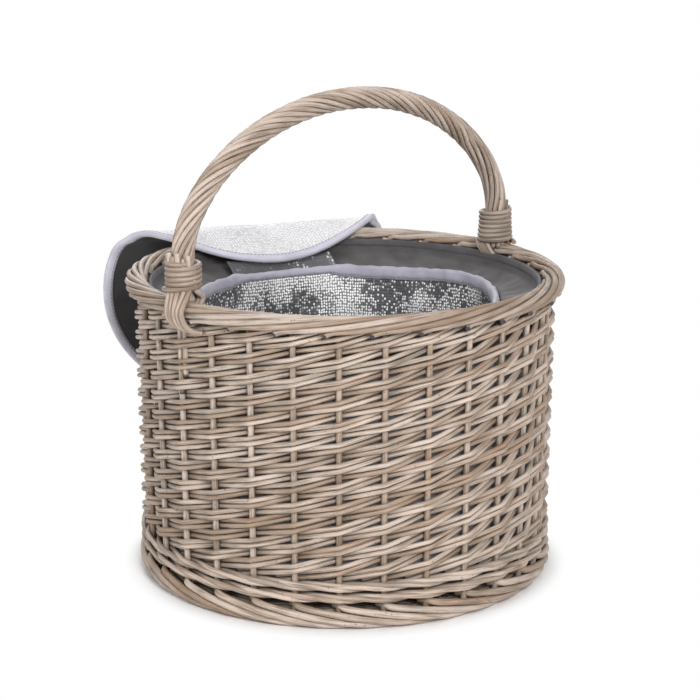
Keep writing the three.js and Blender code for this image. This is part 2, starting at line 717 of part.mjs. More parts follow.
// Foil strip that joins the lid to the back of the bag's mouth, standing up from the tape's outer edge
const stripHeight = LID_HINGE_RISE - LID_HINGE_SETBACK;
const strip = new THREE.BoxGeometry(HINGE_STRIP_WIDTH, HINGE_STRIP_THICKNESS, stripHeight);
const hingeStrip = addPiece(basket, 'lid_hinge_strip', strip, foil);
const stripY = tapeHalfDepth + CLEARANCE + HINGE_STRIP_THICKNESS / 2;
hingeStrip.position.set(0, stripY, mouthTop + stripHeight / 2);

export default basket;
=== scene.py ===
import itertools
import json
import random
from math import acos, atan2, cos, exp, pi, radians, sin

import bpy
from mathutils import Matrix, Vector, noise


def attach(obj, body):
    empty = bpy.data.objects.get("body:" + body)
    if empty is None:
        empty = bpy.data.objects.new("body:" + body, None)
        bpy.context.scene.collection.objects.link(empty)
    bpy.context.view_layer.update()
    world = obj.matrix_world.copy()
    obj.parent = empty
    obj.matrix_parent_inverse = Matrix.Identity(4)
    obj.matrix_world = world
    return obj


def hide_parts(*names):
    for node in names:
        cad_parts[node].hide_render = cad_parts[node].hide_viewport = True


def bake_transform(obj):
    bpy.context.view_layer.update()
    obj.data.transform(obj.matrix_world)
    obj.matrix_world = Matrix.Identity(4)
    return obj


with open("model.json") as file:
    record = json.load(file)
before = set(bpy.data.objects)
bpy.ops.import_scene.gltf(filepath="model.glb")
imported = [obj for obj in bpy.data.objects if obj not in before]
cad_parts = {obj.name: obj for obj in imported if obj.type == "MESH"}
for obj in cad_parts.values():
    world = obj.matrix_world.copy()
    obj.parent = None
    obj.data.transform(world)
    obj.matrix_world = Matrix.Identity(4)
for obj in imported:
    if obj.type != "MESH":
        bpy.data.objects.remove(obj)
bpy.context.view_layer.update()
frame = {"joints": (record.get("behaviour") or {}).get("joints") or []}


# Studio. A white paper floor under one large soft key panel and three weaker ones, as a shop
# photographs its goods. The floor goes over to pure white away from the basket's own shadow.
CAMERA_DISTANCE = 1.6
CAMERA_HEIGHT = 0.5934
CAMERA_TURN = radians(28)
CAMERA_PITCH = radians(14.525)
CAMERA_LENS = 102.79
CAMERA_SHIFT = 0.0073
FLOOR_HALF = 6.0
SHADOW_FROM = 0.166
SHADOW_TO = 0.188
WORLD_LIGHT = 0.27
WHITE = (1, 1, 1, 1)
PAPER = (0.95, 0.95, 0.95, 1)


class Wire:
    """A socket in a tree of nodes. Arithmetic on wires adds Math nodes to that tree."""

    def __init__(self, tree, socket=None):
        self.tree = tree
        self.socket = socket

    def node(self, kind, values=None, output=0, **settings):
        """Adds a node: first its settings, then the values or links of its sockets."""
        made = self.tree.nodes.new(kind)
        for name, value in settings.items():
            setattr(made, name, value)
        for key, value in (values or {}).items():
            if isinstance(value, Wire):
                self.tree.links.new(value.socket, made.inputs[key])
            else:
                made.inputs[key].default_value = value
        return Wire(self.tree, made.outputs[output] if made.outputs else None)

    def also(self, output):
        """Another output of the node that this wire comes from."""
        return Wire(self.tree, self.socket.node.outputs[output])

    def math(self, operation, *values):
        return self.node("ShaderNodeMath", dict(enumerate(values)), operation=operation)

    def mix(self, first, second, share):
        """A colour that goes from the first to the second."""
        return self.node("ShaderNodeMix", {0: share, 6: first, 7: second}, 2, data_type="RGBA")

    def noise(self, place, scale, detail):
        values = {"Vector": place, "Scale": scale, "Detail": detail}
        return self.node("ShaderNodeTexNoise", values)

    def rise(self, low, high):
        """0 below the low value, 1 above the high one and a smooth rise between them."""
        values = {"Value": self, "From Min": low, "From Max": high}
        return self.node("ShaderNodeMapRange", values, interpolation_type="SMOOTHSTEP")

    def __add__(self, other):
        return self.math("ADD", self, other)

    def __sub__(self, other):
        return self.math("SUBTRACT", self, other)

    def __rsub__(self, other):
        return self.math("SUBTRACT", other, self)

    def __mul__(self, other):
        return self.math("MULTIPLY", self, other)

    __radd__ = __add__
    __rmul__ = __mul__


def colour(red, green, blue):
    """A colour as it is seen on a screen, from 0 to 255, as the linear values of a socket."""
    parts = [part / 255 for part in (red, green, blue)]
    return (*[((part + 0.055) / 1.055) ** 2.4 for part in parts], 1)


def new_material(name):
    material = bpy.data.materials.new(name)
    material.use_nodes = True
    material.node_tree.nodes.clear()
    return material, Wire(material.node_tree)


def add_piece(name, data):
    piece = bpy.data.objects.new(name, data)
    bpy.context.collection.objects.link(piece)
    return piece


def background_rays(start):
    """1 for what looks straight at the background or mirrors it, and 0 for light that falls."""
    shown = 0.0
    for ray in ("Is Camera Ray", "Is Glossy Ray", "Is Transmission Ray"):
        shown = start.math("MAXIMUM", shown, start.node("ShaderNodeLightPath", output=ray))
    return shown


def floor_material():
    material, start = new_material("studio_floor")
    place = start.node("ShaderNodeTexCoord", output="Object")
    away = start.node("ShaderNodeVectorMath", {0: place}, "Value", operation="LENGTH")
    paper = start.node("ShaderNodeBsdfDiffuse", {"Color": PAPER})
    white = start.node("ShaderNodeEmission", {"Color": WHITE, "Strength": 1.0})
    share = away.rise(SHADOW_FROM, SHADOW_TO) * background_rays(start)
    sweep = start.node("ShaderNodeMixShader", {0: share, 1: paper, 2: white})
    start.node("ShaderNodeOutputMaterial", {"Surface": sweep})
    return material


def area_light(name, place, aim, width, power):
    """A square lamp that points at a height on the basket's axis."""
    lamp = bpy.data.lights.new(name, "AREA")
    lamp.size = width
    lamp.energy = power
    light = add_piece(name, lamp)
    light.location = place
    light.rotation_euler = (Vector((0, 0, aim)) - Vector(place)).to_track_quat("-Z", "Y").to_euler()


floor_mesh = bpy.data.meshes.new("studio_floor")
floor_corners = [(x * FLOOR_HALF, y * FLOOR_HALF, 0) for x, y in ((-1, -1), (1, -1), (1, 1), (-1, 1))]
floor_mesh.from_pydata(floor_corners, [], [range(4)])
floor_mesh.materials.append(floor_material())
floor = add_piece("studio_floor", floor_mesh)

area_light("key", place=(-0.4, -1.85, 1.15), aim=0.15, width=0.7, power=33)
area_light("side", place=(-1.75, -0.6, 1.0), aim=0.15, width=0.9, power=10)
area_light("top", place=(0.1, 0.1, 1.9), aim=0.2, width=0.8, power=6)
area_light("back", place=(0.4, 1.8, 1.2), aim=0.15, width=1.0, power=15)

world = bpy.data.worlds.new("studio")
world.use_nodes = True
bpy.context.scene.world = world
world.node_tree.nodes.clear()
sky = Wire(world.node_tree)
sky_strength = WORLD_LIGHT + (1 - WORLD_LIGHT) * background_rays(sky)
sky_light = sky.node("ShaderNodeBackground", {"Color": WHITE, "Strength": sky_strength})
sky.node("ShaderNodeOutputWorld", {"Surface": sky_light})
bpy.context.scene.view_settings.view_transform = "Standard"

lens = bpy.data.cameras.new("camera")
lens.lens = CAMERA_LENS
lens.shift_x = CAMERA_SHIFT
camera = add_piece("camera", lens)
camera_side = -CAMERA_DISTANCE * sin(CAMERA_TURN)
camera_back = -CAMERA_DISTANCE * cos(CAMERA_TURN)
camera.location = (camera_side, camera_back, CAMERA_HEIGHT)
camera.rotation_euler = (pi / 2 - CAMERA_PITCH, 0, -CAMERA_TURN)
bpy.context.scene.camera = camera


# Base. Six willow sticks crossed in two layers of three, twelve more spread between their arms,
# and thinner rods woven round them all: two in each ring, one over and one under every arm.
BASE_STICK_RADIUS = 0.0029
BASE_STICK_REACH = 0.152
BASE_STICK_PITCH = 0.0085
BASE_LOW = 0.0062
BASE_MIDDLE = BASE_LOW + BASE_STICK_RADIUS
BASE_ARMS = 12
BASE_ARM_START = 0.034
BASE_ROD_RADIUS = 0.0021
BASE_SWAY = 0.0023
BASE_FIRST_RING = 0.031
BASE_RING_PITCH = 0.005
BASE_RING_COUNT = 26
BASE_STEPS = 4
# Inside this reach and below this height the willow gets painted shade, where rods pass behind the
# stakes.
PAINTED_SHADE_REACH = (0.1605, 0.1685)
PAINTED_SHADE_HEIGHT = (0.232, 0.240)

ROD_PALE = colour(200, 184, 171)
ROD_MIDDLE = colour(154, 137, 121)
ROD_DARK = colour(104, 87, 73)
ROD_BROWN = colour(150, 121, 97)
ROD_GREY = colour(150, 141, 129)
ROD_CUT = colour(58, 58, 64)
# Used for real specks, for darker rods, and for painted shade in the wall's recesses.
ROD_STAIN_AND_SHADE = colour(76, 62, 52)


def stored(start, name, output="Fac"):
    """Reads what a mesh keeps under a name on each of its points."""
    return start.node("ShaderNodeAttribute", output=output, attribute_name=name)


def surface(material, start, values):
    """Gives a material one Principled surface with these values."""
    shader = start.node("ShaderNodeBsdfPrincipled", values)
    start.node("ShaderNodeOutputMaterial", {"Surface": shader})
    return material


def willow_material():
    """Grey-washed willow: streaks along each rod, specks, darker cut ends, and painted shade inside the
    wall below the rim, where rods pass behind the stakes.
    """
    material, start = new_material("willow")
    along = stored(start, "along")
    tint = stored(start, "tint")
    run = start.node("ShaderNodeCombineXYZ", {"Z": along * 45 + tint * 91})
    values = {0: stored(start, "section", "Vector"), 1: (2.2, 2.2, 0), 2: run}
    grain_place = start.node("ShaderNodeVectorMath", values, operation="MULTIPLY_ADD")
    grain = start.noise(grain_place, 1.0, 4)
    patch_place = start.node("ShaderNodeCombineXYZ", {"X": tint * 57, "Z": along * 26})
    patch = start.noise(patch_place, 1.0, 2)
    place = start.node("ShaderNodeTexCoord", output="Object")
    speck = start.noise(place, 420.0, 1)
    hue = start.node("ShaderNodeTexWhiteNoise", {"W": tint * 13}, noise_dimensions="1D")
    shade = start.node("ShaderNodeTexWhiteNoise", {"W": tint * 29}, noise_dimensions="1D")
    level = start.node("ShaderNodeSeparateXYZ", {0: place}, "Z")
    flat = start.node("ShaderNodeVectorMath", {0: place, 1: (1, 1, 0)}, operation="MULTIPLY")
    away = start.node("ShaderNodeVectorMath", {0: flat}, "Value", operation="LENGTH")
    # Painted shade: darker inside the stake circle and below the rim.
    recess_shade = (1 - away.rise(*PAINTED_SHADE_REACH)) * (1 - level.rise(*PAINTED_SHADE_HEIGHT))
    washes = (
        (ROD_BROWN, hue.rise(0.6, 1.0) * 0.7),
        (ROD_GREY, (1 - hue).rise(0.6, 1.0) * 0.8),
        (ROD_PALE, (grain * 0.6 + patch * 0.5 + shade * 0.16).rise(0.52, 0.76)),
        (ROD_BROWN, (1 - shade).rise(0.62, 1.0) * 0.55),
        (ROD_DARK, (1 - grain * 0.7 - patch * 0.4).rise(0.45, 0.72)),
        (ROD_STAIN_AND_SHADE, speck.rise(0.70, 0.78) * 0.7),
        # Painted shade in the recesses, plus each rod's tone, which is painted shade for the hidden
        # cores.
        (ROD_STAIN_AND_SHADE, recess_shade * 0.4 + stored(start, "tone")),
        (ROD_CUT, stored(start, "cut").rise(0.75, 0.95)),
    )
    base = ROD_MIDDLE
    for tone, share in washes:
        base = start.mix(base, tone, share)
    ridges = start.node("ShaderNodeBump", {"Strength": 0.35, "Distance": 0.0006, "Height": grain})
    values = {"Base Color": base, "Roughness": 0.42 + grain * 0.2, "Normal": ridges}
    return surface(material, start, values)


def new_tree(name, inputs):
    """A tree of geometry nodes with named inputs, and a wire for each of them."""
    tree = bpy.data.node_groups.new(name, "GeometryNodeTree")
    for label, kind in {"Geometry": "Geometry", **inputs}.items():
        tree.interface.new_socket(label, in_out="INPUT", socket_type="NodeSocket" + kind)
    tree.interface.new_socket("Geometry", in_out="OUTPUT", socket_type="NodeSocketGeometry")
    given = tree.nodes.new("NodeGroupInput")
    return tree, {socket.name: Wire(tree, socket) for socket in given.outputs if socket.name}


def store(geometry, name, value, data_type="FLOAT"):
    """Keeps a value under a name on each point, for a material to read."""
    values = {"Geometry": geometry, "Name": name, "Value": value}
    kind = "GeometryNodeStoreNamedAttribute"
    return geometry.node(kind, values, data_type=data_type, domain="POINT")


def finish_tree(made, finish):
    """Ends a tree: what it made becomes one smooth mesh with its material."""
    made = made.node("GeometryNodeRealizeInstances", {"Geometry": made})
    made = made.node("GeometryNodeSetShadeSmooth", {"Geometry": made})
    made = made.node("GeometryNodeSetMaterial", {"Geometry": made, "Material": finish})
    made.node("NodeGroupOutput", {0: made})


def rod_tree():
    """Sweeps a round rod along every path and keeps what the willow's colours need to know."""
    inputs = {
        "Rod radius": "Float", "Tip share": "Float", "Cut dark": "Float", "Tone": "Float",
        "Sides": "Int", "Rings": "Int", "Seed": "Int", "Finish": "Material",
    }
    tree, given = new_tree("willow_rods", inputs)
    start = given["Geometry"]
    smooth = start.node("GeometryNodeCurveSplineType", {"Curve": start}, spline_type="CATMULL_ROM")
    values = {"Geometry": smooth, "Resolution": given["Rings"]}
    fine = start.node("GeometryNodeSetSplineResolution", values)
    path = start.node("GeometryNodeResampleCurve", {"Curve": fine}, mode="EVALUATED")
    share = start.node("GeometryNodeSplineParameter", output="Factor")
    along = share.also("Length")
    rod = start.node("GeometryNodeCurveOfPoint", output="Curve Index")
    values = {"ID": rod, "Seed": given["Seed"]}
    tint = start.node("FunctionNodeRandomValue", values, 1, data_type="FLOAT")
    ends = start.node("GeometryNodeCurveEndpointSelection")
    lumps_place = start.node("ShaderNodeCombineXYZ", {"X": along * 60, "Y": tint * 83})
    lumps = start.noise(lumps_place, 1.0, 1)
    swell = start.node("GeometryNodeInputRadius") * (0.9 + 0.2 * lumps)
    thick = given["Rod radius"] * swell * (1 - (1 - given["Tip share"]) * share)
    kept = {"along": along, "tint": tint, "cut": given["Cut dark"] * ends, "tone": given["Tone"]}
    for name, value in kept.items():
        path = store(path, name, value)
    values = {"Resolution": given["Sides"], "Radius": 1}
    circle = start.node("GeometryNodeCurvePrimitiveCircle", values)
    position = start.node("GeometryNodeInputPosition")
    circle = store(circle, "section", position, "FLOAT_VECTOR")
    values = {"Curve": path, "Profile Curve": circle, "Scale": thick, "Fill Caps": True}
    finish_tree(start.node("GeometryNodeCurveToMesh", values), given["Finish"])
    return tree


def grow(name, paths, closed, tree, sizes):
    """Runs a tree of geometry nodes on paths and keeps what it makes as a plain mesh.

    A point of a path is a place, or a place and its share of the rod's radius.
    """
    curve = bpy.data.curves.new(name + "_paths", "CURVE")
    curve.dimensions = "3D"
    for path in paths:
        spline = curve.splines.new("POLY")
        spline.points.add(len(path) - 1)
        spline.use_cyclic_u = closed
        for point, place in zip(spline.points, path):
            point.co = (*place[:3], 1)
            point.radius = place[3] if len(place) > 3 else 1
    source = add_piece(name + "_paths", curve)
    modifier = source.modifiers.new("grow", "NODES")
    modifier.node_group = tree
    for item in tree.interface.items_tree:
        if item.in_out == "INPUT" and item.name in sizes:
            modifier[item.identifier] = sizes[item.name]
    grown = source.evaluated_get(bpy.context.evaluated_depsgraph_get())
    mesh = bpy.data.meshes.new_from_object(grown)
    bpy.data.objects.remove(source)
    mesh.name = name
    return add_piece(name, mesh)


WILLOW = willow_material()
ROD_TREE = rod_tree()
ROD_SEEDS = itertools.count(1)


def willow_rods(name, paths, radius, nodes=(), closed=False, tip=0.9, rings=2, sides=8, cut=1.0,
                tone=0.0):
    """Willow rods along the paths, in place of some nodes, with some rings to each of their spans."""
    sizes = {
        "Rod radius": radius, "Tip share": 1.0 if closed else tip, "Cut dark": cut, "Tone": tone,
        "Sides": sides, "Rings": rings, "Seed": next(ROD_SEEDS), "Finish": WILLOW,
    }
    rods = grow(name, paths, closed, ROD_TREE, sizes)
    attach(rods, "basket")
    if nodes:
        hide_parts(*nodes)


def turns(count):
    """The angles of so many even steps round a circle."""
    return [2 * pi * step / count for step in range(count)]


def ring_point(turn, reach, height, sideways=0.0):
    """A place out from the basket's axis in one direction, and sideways from there."""
    x = reach * cos(turn) - sideways * sin(turn)
    y = reach * sin(turn) + sideways * cos(turn)
    return (x, y, height)


def base_sticks():
    sticks = []
    for layer in (0, 1):
        height = BASE_LOW + layer * 2 * BASE_STICK_RADIUS
        for across in (-BASE_STICK_PITCH, 0, BASE_STICK_PITCH):
            ends = [(-BASE_STICK_REACH, across, height), (BASE_STICK_REACH, across, height)]
            sticks.append([(y, x, z) if layer else (x, y, z) for x, y, z in ends])
    for turn in turns(BASE_ARMS):
        between = turn + pi / BASE_ARMS
        ends = (BASE_ARM_START, BASE_STICK_REACH)
        sticks.append([ring_point(between, reach, BASE_MIDDLE) for reach in ends])
    return sticks


def base_rings():
    rings = []
    for ring in range(BASE_RING_COUNT):
        reach = BASE_FIRST_RING + ring * BASE_RING_PITCH
        for side in (0, 1):
            path = []
            for turn in turns(2 * BASE_ARMS * BASE_STEPS):
                sway = cos(BASE_ARMS * turn + pi * (ring + side))
                path.append(ring_point(turn, reach, BASE_MIDDLE + sway * BASE_SWAY))
            rings.append(path)
    return rings


willow_rods("base_sticks", base_sticks(), BASE_STICK_RADIUS, ["woven_base"], rings=12)
willow_rods("base_weave", base_rings(), BASE_ROD_RADIUS, ["woven_base"], closed=True, rings=1, sides=6)


# Stakes. Thirty upright willow rods, their butts pushed in beside the base sticks and bent up.
# They lean outwards a little, and the whole wall is woven round them.
STAKE_COUNT = 30
STAKE_PITCH = 2 * pi / STAKE_COUNT
STAKE_PHASE = radians(0.5)
STAKE_RADIUS = 0.0026
STAKE_CIRCLE = 0.1638
STAKE_LEAN = 0.0027
STAKE_FOOT = 0.0203
STAKE_TOP = 0.2338
STAKE_HEIGHTS = (0.0085, 0.03, 0.09, 0.15, STAKE_TOP)


def stake_turn(number):
    return STAKE_PHASE + number * STAKE_PITCH


def wall_circle(height):
    return STAKE_CIRCLE + STAKE_LEAN * (height - STAKE_FOOT) / (STAKE_TOP - STAKE_FOOT)


def stake_path(number):
    turn = stake_turn(number)
    return [ring_point(turn, wall_circle(height), height) for height in STAKE_HEIGHTS]


stake_paths = [stake_path(number) for number in range(STAKE_COUNT)]
stake_nodes = [f"stake_{number + 1:02d}" for number in range(STAKE_COUNT)]
willow_rods("stakes", stake_paths, STAKE_RADIUS, stake_nodes, rings=8)


# Foot border. The tails of the stakes, brought out under the wale and rolled down round the edge.
# Each comes out with a blunt bend, runs on over three stakes, and tucks away under the base.
FOOT_ROD_RADIUS = 0.0028
FOOT_TRACK = (
    (-0.12, 0.1585, 0.0176), (0.02, 0.1640, 0.0182), (0.14, 0.1680, 0.0176), (0.45, 0.1692, 0.0158),
    (1.2, 0.1698, 0.0113), (2.1, 0.1690, 0.0060), (2.9, 0.1650, 0.0030), (3.5, 0.1600, 0.0028),
    (3.9, 0.1560, 0.0034),
)


def track_path(number, track):
    """A rod that starts at a stake: each row is a run in stakes, a reach and a height."""
    return [ring_point(stake_turn(number + run), reach, height) for run, reach, height in track]


foot_paths = [track_path(number, FOOT_TRACK) for number in range(STAKE_COUNT)]
willow_rods("foot_border_rods", foot_paths, FOOT_ROD_RADIUS, ["foot_border"], rings=3)


# Upsett wale. Two rows of three rods each that bind the stakes just above the foot border.
# Every rod passes in front of two stakes and behind one, so that the row looks like a rope.
WALE_ROWS = (0.0248, 0.0341)
WALE_RODS = 3
WALE_ROD_RADIUS = 0.0021
WALE_OFFSET = STAKE_RADIUS + WALE_ROD_RADIUS
WALE_RISE = 0.0019
# Each row is a run in stakes, how far in front of the stakes or behind them, and a rise.
WALE_TRACK = (
    (0, 1.0, 1.0), (0.5, 1.05, 0.5), (1, 1.0, -0.6), (1.5, 0.0, -0.9), (2, -1.0, 0), (2.5, 0.0, 0.9),
)


def wale_path(row, rod):
    path = []
    for stroke in range(0, STAKE_COUNT, WALE_RODS):
        for run, side, rise in WALE_TRACK:
            height = WALE_ROWS[row] + rise * WALE_RISE
            turn = stake_turn(rod + row + stroke + run)
            path.append(ring_point(turn, wall_circle(height) + side * WALE_OFFSET, height))
    return path


for row in range(len(WALE_ROWS)):
    wale_paths = [wale_path(row, rod) for rod in range(WALE_RODS)]
    wale_node = f"upsett_wale_{row + 1}"
    willow_rods(f"wale_row_{row + 1}", wale_paths, WALE_ROD_RADIUS, [wale_node], closed=True)


# Siding. French randing: thirty pairs of thin rods, one pair started at each stake, that climb the
# wall together, in front of one stake and behind the next, and are cut off under the border.
PAIR_ROD_RADIUS = 0.00194
PAIR_OFFSET = STAKE_RADIUS + 0.85 * PAIR_ROD_RADIUS
PAIR_SPACING = 0.0043
PAIR_CLIMB = 0.00818
PAIR_FIRST = 0.0486
PAIR_STAKES = range(-1, 24)
PAIR_START = PAIR_STAKES[0] - 0.5
PAIR_CREASE = (-0.12, 0.0, 0.12, 0.5)
PAIR_WANDER = 0.0009
SIDING_COURSES = 12


def pair_height(run, rod):
    return PAIR_FIRST + run * PAIR_CLIMB + (rod - 0.5) * PAIR_SPACING


def pair_path(pair, rod):
    """From inside the wall in front of every even stake and behind every odd one, creased there."""
    low = pair_height(PAIR_START, rod)
    path = [ring_point(stake_turn(pair + PAIR_START), wall_circle(low) - PAIR_OFFSET, low)]
    for stake in PAIR_STAKES:
        side = -1 if stake % 2 else 1
        for shift in PAIR_CREASE:
            run = stake + shift
            wander = noise.noise(Vector((run * 0.8, pair * 3.7, rod * 9.1))) * PAIR_WANDER
            height = pair_height(run, rod) + wander
            reach = wall_circle(height) + PAIR_OFFSET * side * (1 - 2 * abs(shift))
            path.append(ring_point(stake_turn(pair + run), reach, height))
    return path[:-1]


pair_paths = [pair_path(pair, rod) for pair in range(STAKE_COUNT) for rod in (0, 1)]
siding_nodes = [f"siding_course_{course + 1:02d}" for course in range(SIDING_COURSES)]
willow_rods("siding_rods", pair_paths, PAIR_ROD_RADIUS, siding_nodes)


# Rim border. The stakes' tops, bent over one after another and rolled into a thick rounded edge.
# Each rises inside, crosses the top and comes down outside, where its cut end shows.
RIM_REACH = 0.1705
RIM_MIDDLE = 0.2411
RIM_ROD_RADIUS = 0.0024
RIM_SECTION = (0.0069, 0.0055)
RIM_ROOT = 0.225
RIM_TRACK = ((0.0, 0.1646, 0.2350), (-0.04, 0.1632, 0.2400), (-0.16, 0.1634, 0.2428))
RIM_START = 185
RIM_BENT = 0.4
RIM_ROLL = 46
RIM_STAKES = 5.1
RIM_POINTS = 3
RIM_END = ((-0.10, 0.1752, 0.2350), (-0.14, 0.1764, 0.2341))
RIM_UNEVEN = 0.12
RIM_CORE_RADIUS = 0.0042
RIM_FILLING = ((RIM_REACH, RIM_MIDDLE, 1.0), (0.1652, 0.2362, 0.75))


def rim_place(number, run):
    """A place on the border's rounded section, rolled further over with each stake that is passed."""
    angle = radians(RIM_START - RIM_ROLL * run)
    reach = RIM_REACH + RIM_SECTION[0] * cos(angle)
    return ring_point(stake_turn(number - run), reach, RIM_MIDDLE + RIM_SECTION[1] * sin(angle))


def rim_path(number):
    path = [ring_point(stake_turn(number), wall_circle(RIM_ROOT), RIM_ROOT)]
    path += track_path(number, RIM_TRACK)
    count = round((RIM_STAKES - RIM_BENT) * RIM_POINTS)
    for step in range(count + 1):
        path.append(rim_place(number, RIM_BENT + (RIM_STAKES - RIM_BENT) * step / count))
    end = RIM_STAKES + random.Random(number).uniform(0.0, RIM_UNEVEN)
    return path + track_path(number - end, RIM_END)


def filling_ring(reach, height, share):
    return [(*ring_point(stake_turn(number), reach, height), share) for number in range(STAKE_COUNT)]


rim_paths = [rim_path(number) for number in range(STAKE_COUNT)]
willow_rods("rim_border_rods", rim_paths, RIM_ROD_RADIUS, ["rim_border"], tip=0.88, tone=0.12)
core = [filling_ring(*row) for row in RIM_FILLING]
# tone=0.6 paints the hidden core dark, as painted shade in the gaps between the border's rods.
willow_rods("rim_border_core", core, RIM_CORE_RADIUS, ["rim_border"], closed=True, rings=4, tone=0.6)


# Handle bow. One thick willow rod bent into a hoop, its two ends shaved slim and pushed down
# beside stakes of the wall; a second slim rod is pushed in next to each of them.
LEG_TURNS = (radians(194.39), radians(10.61))
LEG_CIRCLE = 0.1665
HANDLE_TURN = (sum(LEG_TURNS) - pi) / 2
HANDLE_HALF = (LEG_TURNS[0] - LEG_TURNS[1]) / 2
HANDLE_OFFSET = LEG_CIRCLE * cos(HANDLE_HALF)
LEG_REACH = LEG_CIRCLE * sin(HANDLE_HALF)
HOOP_FOOT = 0.2440
HOOP_SHOULDER = 0.2816
HOOP_TOP = 0.3876
SHOULDER_RISE = 0.042
SHOULDER_REACH = 0.104
HOOP_STEPS = 40
BOW_RADIUS = 0.005
SPIKE_RADIUS = 0.0022
SPIKE_CIRCLE = LEG_CIRCLE - 0.0005
# Each spike's turn from its leg, and how low it reaches.
SPIKES = ((0.0, 0.187), (-0.029, 0.172))


def handle_place(along, across, height):
    """A place in the handle's own plane, turned to where the handle stands on the basket."""
    return ring_point(HANDLE_TURN, along, height, HANDLE_OFFSET + across)


def hoop_line():
    """The hoop's middle line in its own plane, from the left foot over the top to the right one."""
    foot = Vector((LEG_REACH, HOOP_FOOT))
    shoulder = Vector((LEG_REACH, HOOP_SHOULDER))
    upper = ((LEG_REACH, HOOP_SHOULDER + SHOULDER_RISE), (SHOULDER_REACH, HOOP_TOP), (0, HOOP_TOP))
    corners = [shoulder, *map(Vector, upper)]
    half = [foot, (foot + shoulder) / 2]
    for step in range(HOOP_STEPS + 1):
        share = step / HOOP_STEPS
        rest = 1 - share
        weights = (rest ** 3, 3 * share * rest ** 2, 3 * share ** 2 * rest, share ** 3)
        half.append(sum((weight * corner for weight, corner in zip(weights, corners)), Vector((0, 0))))
    left = [Vector((-point.x, point.y)) for point in half]
    return left + half[-2::-1]


hoop_points = hoop_line()
hoop_spans = [(after - before).length for before, after in zip(hoop_points, hoop_points[1:])]
hoop_lengths = [0, *itertools.accumulate(hoop_spans)]
bow_path = [handle_place(point.x, 0, point.y) for point in hoop_points]
# tone=0.6 paints the bow's core dark, as painted shade in the grooves between the strands roped round
# it.
willow_rods("handle_core", [bow_path], BOW_RADIUS, ["handle_bow"], tip=1.0, rings=1, tone=0.6)
spike_paths = []
for leg in LEG_TURNS:
    for shift, depth in SPIKES:
        heights = (depth, (depth + HOOP_FOOT) / 2, HOOP_FOOT)
        spike_paths.append([ring_point(leg + shift, SPIKE_CIRCLE, height) for height in heights])
willow_rods("handle_spikes", spike_paths, SPIKE_RADIUS, ["handle_bow"], tip=1.0)


# Handle roping. Ten thin rods laid side by side and twisted round the bow from foot to foot,
# until they cover it. The twist slackens towards the right foot.
STRAND_COUNT = 10
STRAND_RADIUS = 0.00198
STRAND_CIRCLE = 0.0071
STRAND_TURNS = 4.4
SLACK_FROM = 0.78
SLACK_SHARE = 0.45
CAD_STRANDS = 5


def strand_path(strand):
    path = []
    phase = strand * 2 * pi / STRAND_COUNT
    for step, point in enumerate(hoop_points):
        before = hoop_points[max(step - 1, 0)]
        after = hoop_points[min(step + 1, len(hoop_points) - 1)]
        run = (after - before).normalized()
        share = hoop_lengths[step] / hoop_lengths[-1]
        twisted = min(share, SLACK_FROM) + SLACK_SHARE * max(0.0, share - SLACK_FROM)
        angle = phase + 2 * pi * STRAND_TURNS * twisted
        out = STRAND_CIRCLE * sin(angle)
        across = STRAND_CIRCLE * cos(angle)
        path.append(handle_place(point.x - run.y * out, across, point.y + run.x * out))
    return path


strand_paths = [strand_path(strand) for strand in range(STRAND_COUNT)]
strand_nodes = [f"handle_strand_{number + 1}" for number in range(CAD_STRANDS)]
willow_rods("handle_roping", strand_paths, STRAND_RADIUS, strand_nodes, tip=1.0, rings=1, tone=0.08)


# Handle lashings. At each foot five rods pass over the border on the outside and five inside,
# a rod is wound round all of them, and the trimmed ends stand up as a short tuft.
LASHING_ROD_RADIUS = 0.0021
LASHING_OVAL = (0.0128, 0.0116)
LASHING_FOOT = {"left": 0.2580, "right": 0.2510}
LASHING_COILS = {"left": 5.1, "right": 6.9}
LASHING_FLARE = {"left": 0.0, "right": 0.0014}
LASHING_PITCH = 0.0039
LASHING_START = 0.6
LASHING_POINTS = 16
LOOSE_TURN = 0.22
LOOSE_OUT = 0.002
LOOSE_SIDEWAYS = 0.004
LOOSE_DROP = 0.001
STRAP_COUNT = 5
STRAP_OVAL = 0.0107
STRAP_SPREAD = (-20, 80)
STRAP_UNDER = (0.2755, 0.2585)
STRAP_FIRST = -0.0020
STRAP_SIDE = {"outer": 1, "inner": -1}
STRAP_PITCH = {"outer": 0.0046, "inner": 0.0030}
# Each row is a height, how far out from the leg, and a shift along the rim.
STRAP_TRACK = {
    "outer": (
        (0.2450, 0.0150, 0.0), (0.2380, 0.0152, 0.0005), (0.2320, 0.0135, 0.0030),
        (0.2284, 0.0100, 0.0075), (0.2272, 0.0050, 0.0125),
    ),
    "inner": ((0.2500, -0.0105, 0.0), (0.2430, -0.0085, -0.0020), (0.2370, -0.0045, -0.0050)),
}
TUFT_COUNT = {"left": 8, "right": 3}
TUFT_TONE = {"left": 0.0, "right": 0.35}
TUFT_OVAL = (0.0112, 0.0105)
TUFT_SPREAD = 0.33
TUFT_ROOT = 0.008
TUFT_STAND = (0.002, 0.0085)
TUFT_LEAN = 0.001
TUFT_SPLAY = 1.06


def leg_place(leg, out, sideways, height):
    """A place beside a handle foot: outwards from the basket's axis, and along the rim."""
    return ring_point(leg, LEG_CIRCLE + out, height, sideways)


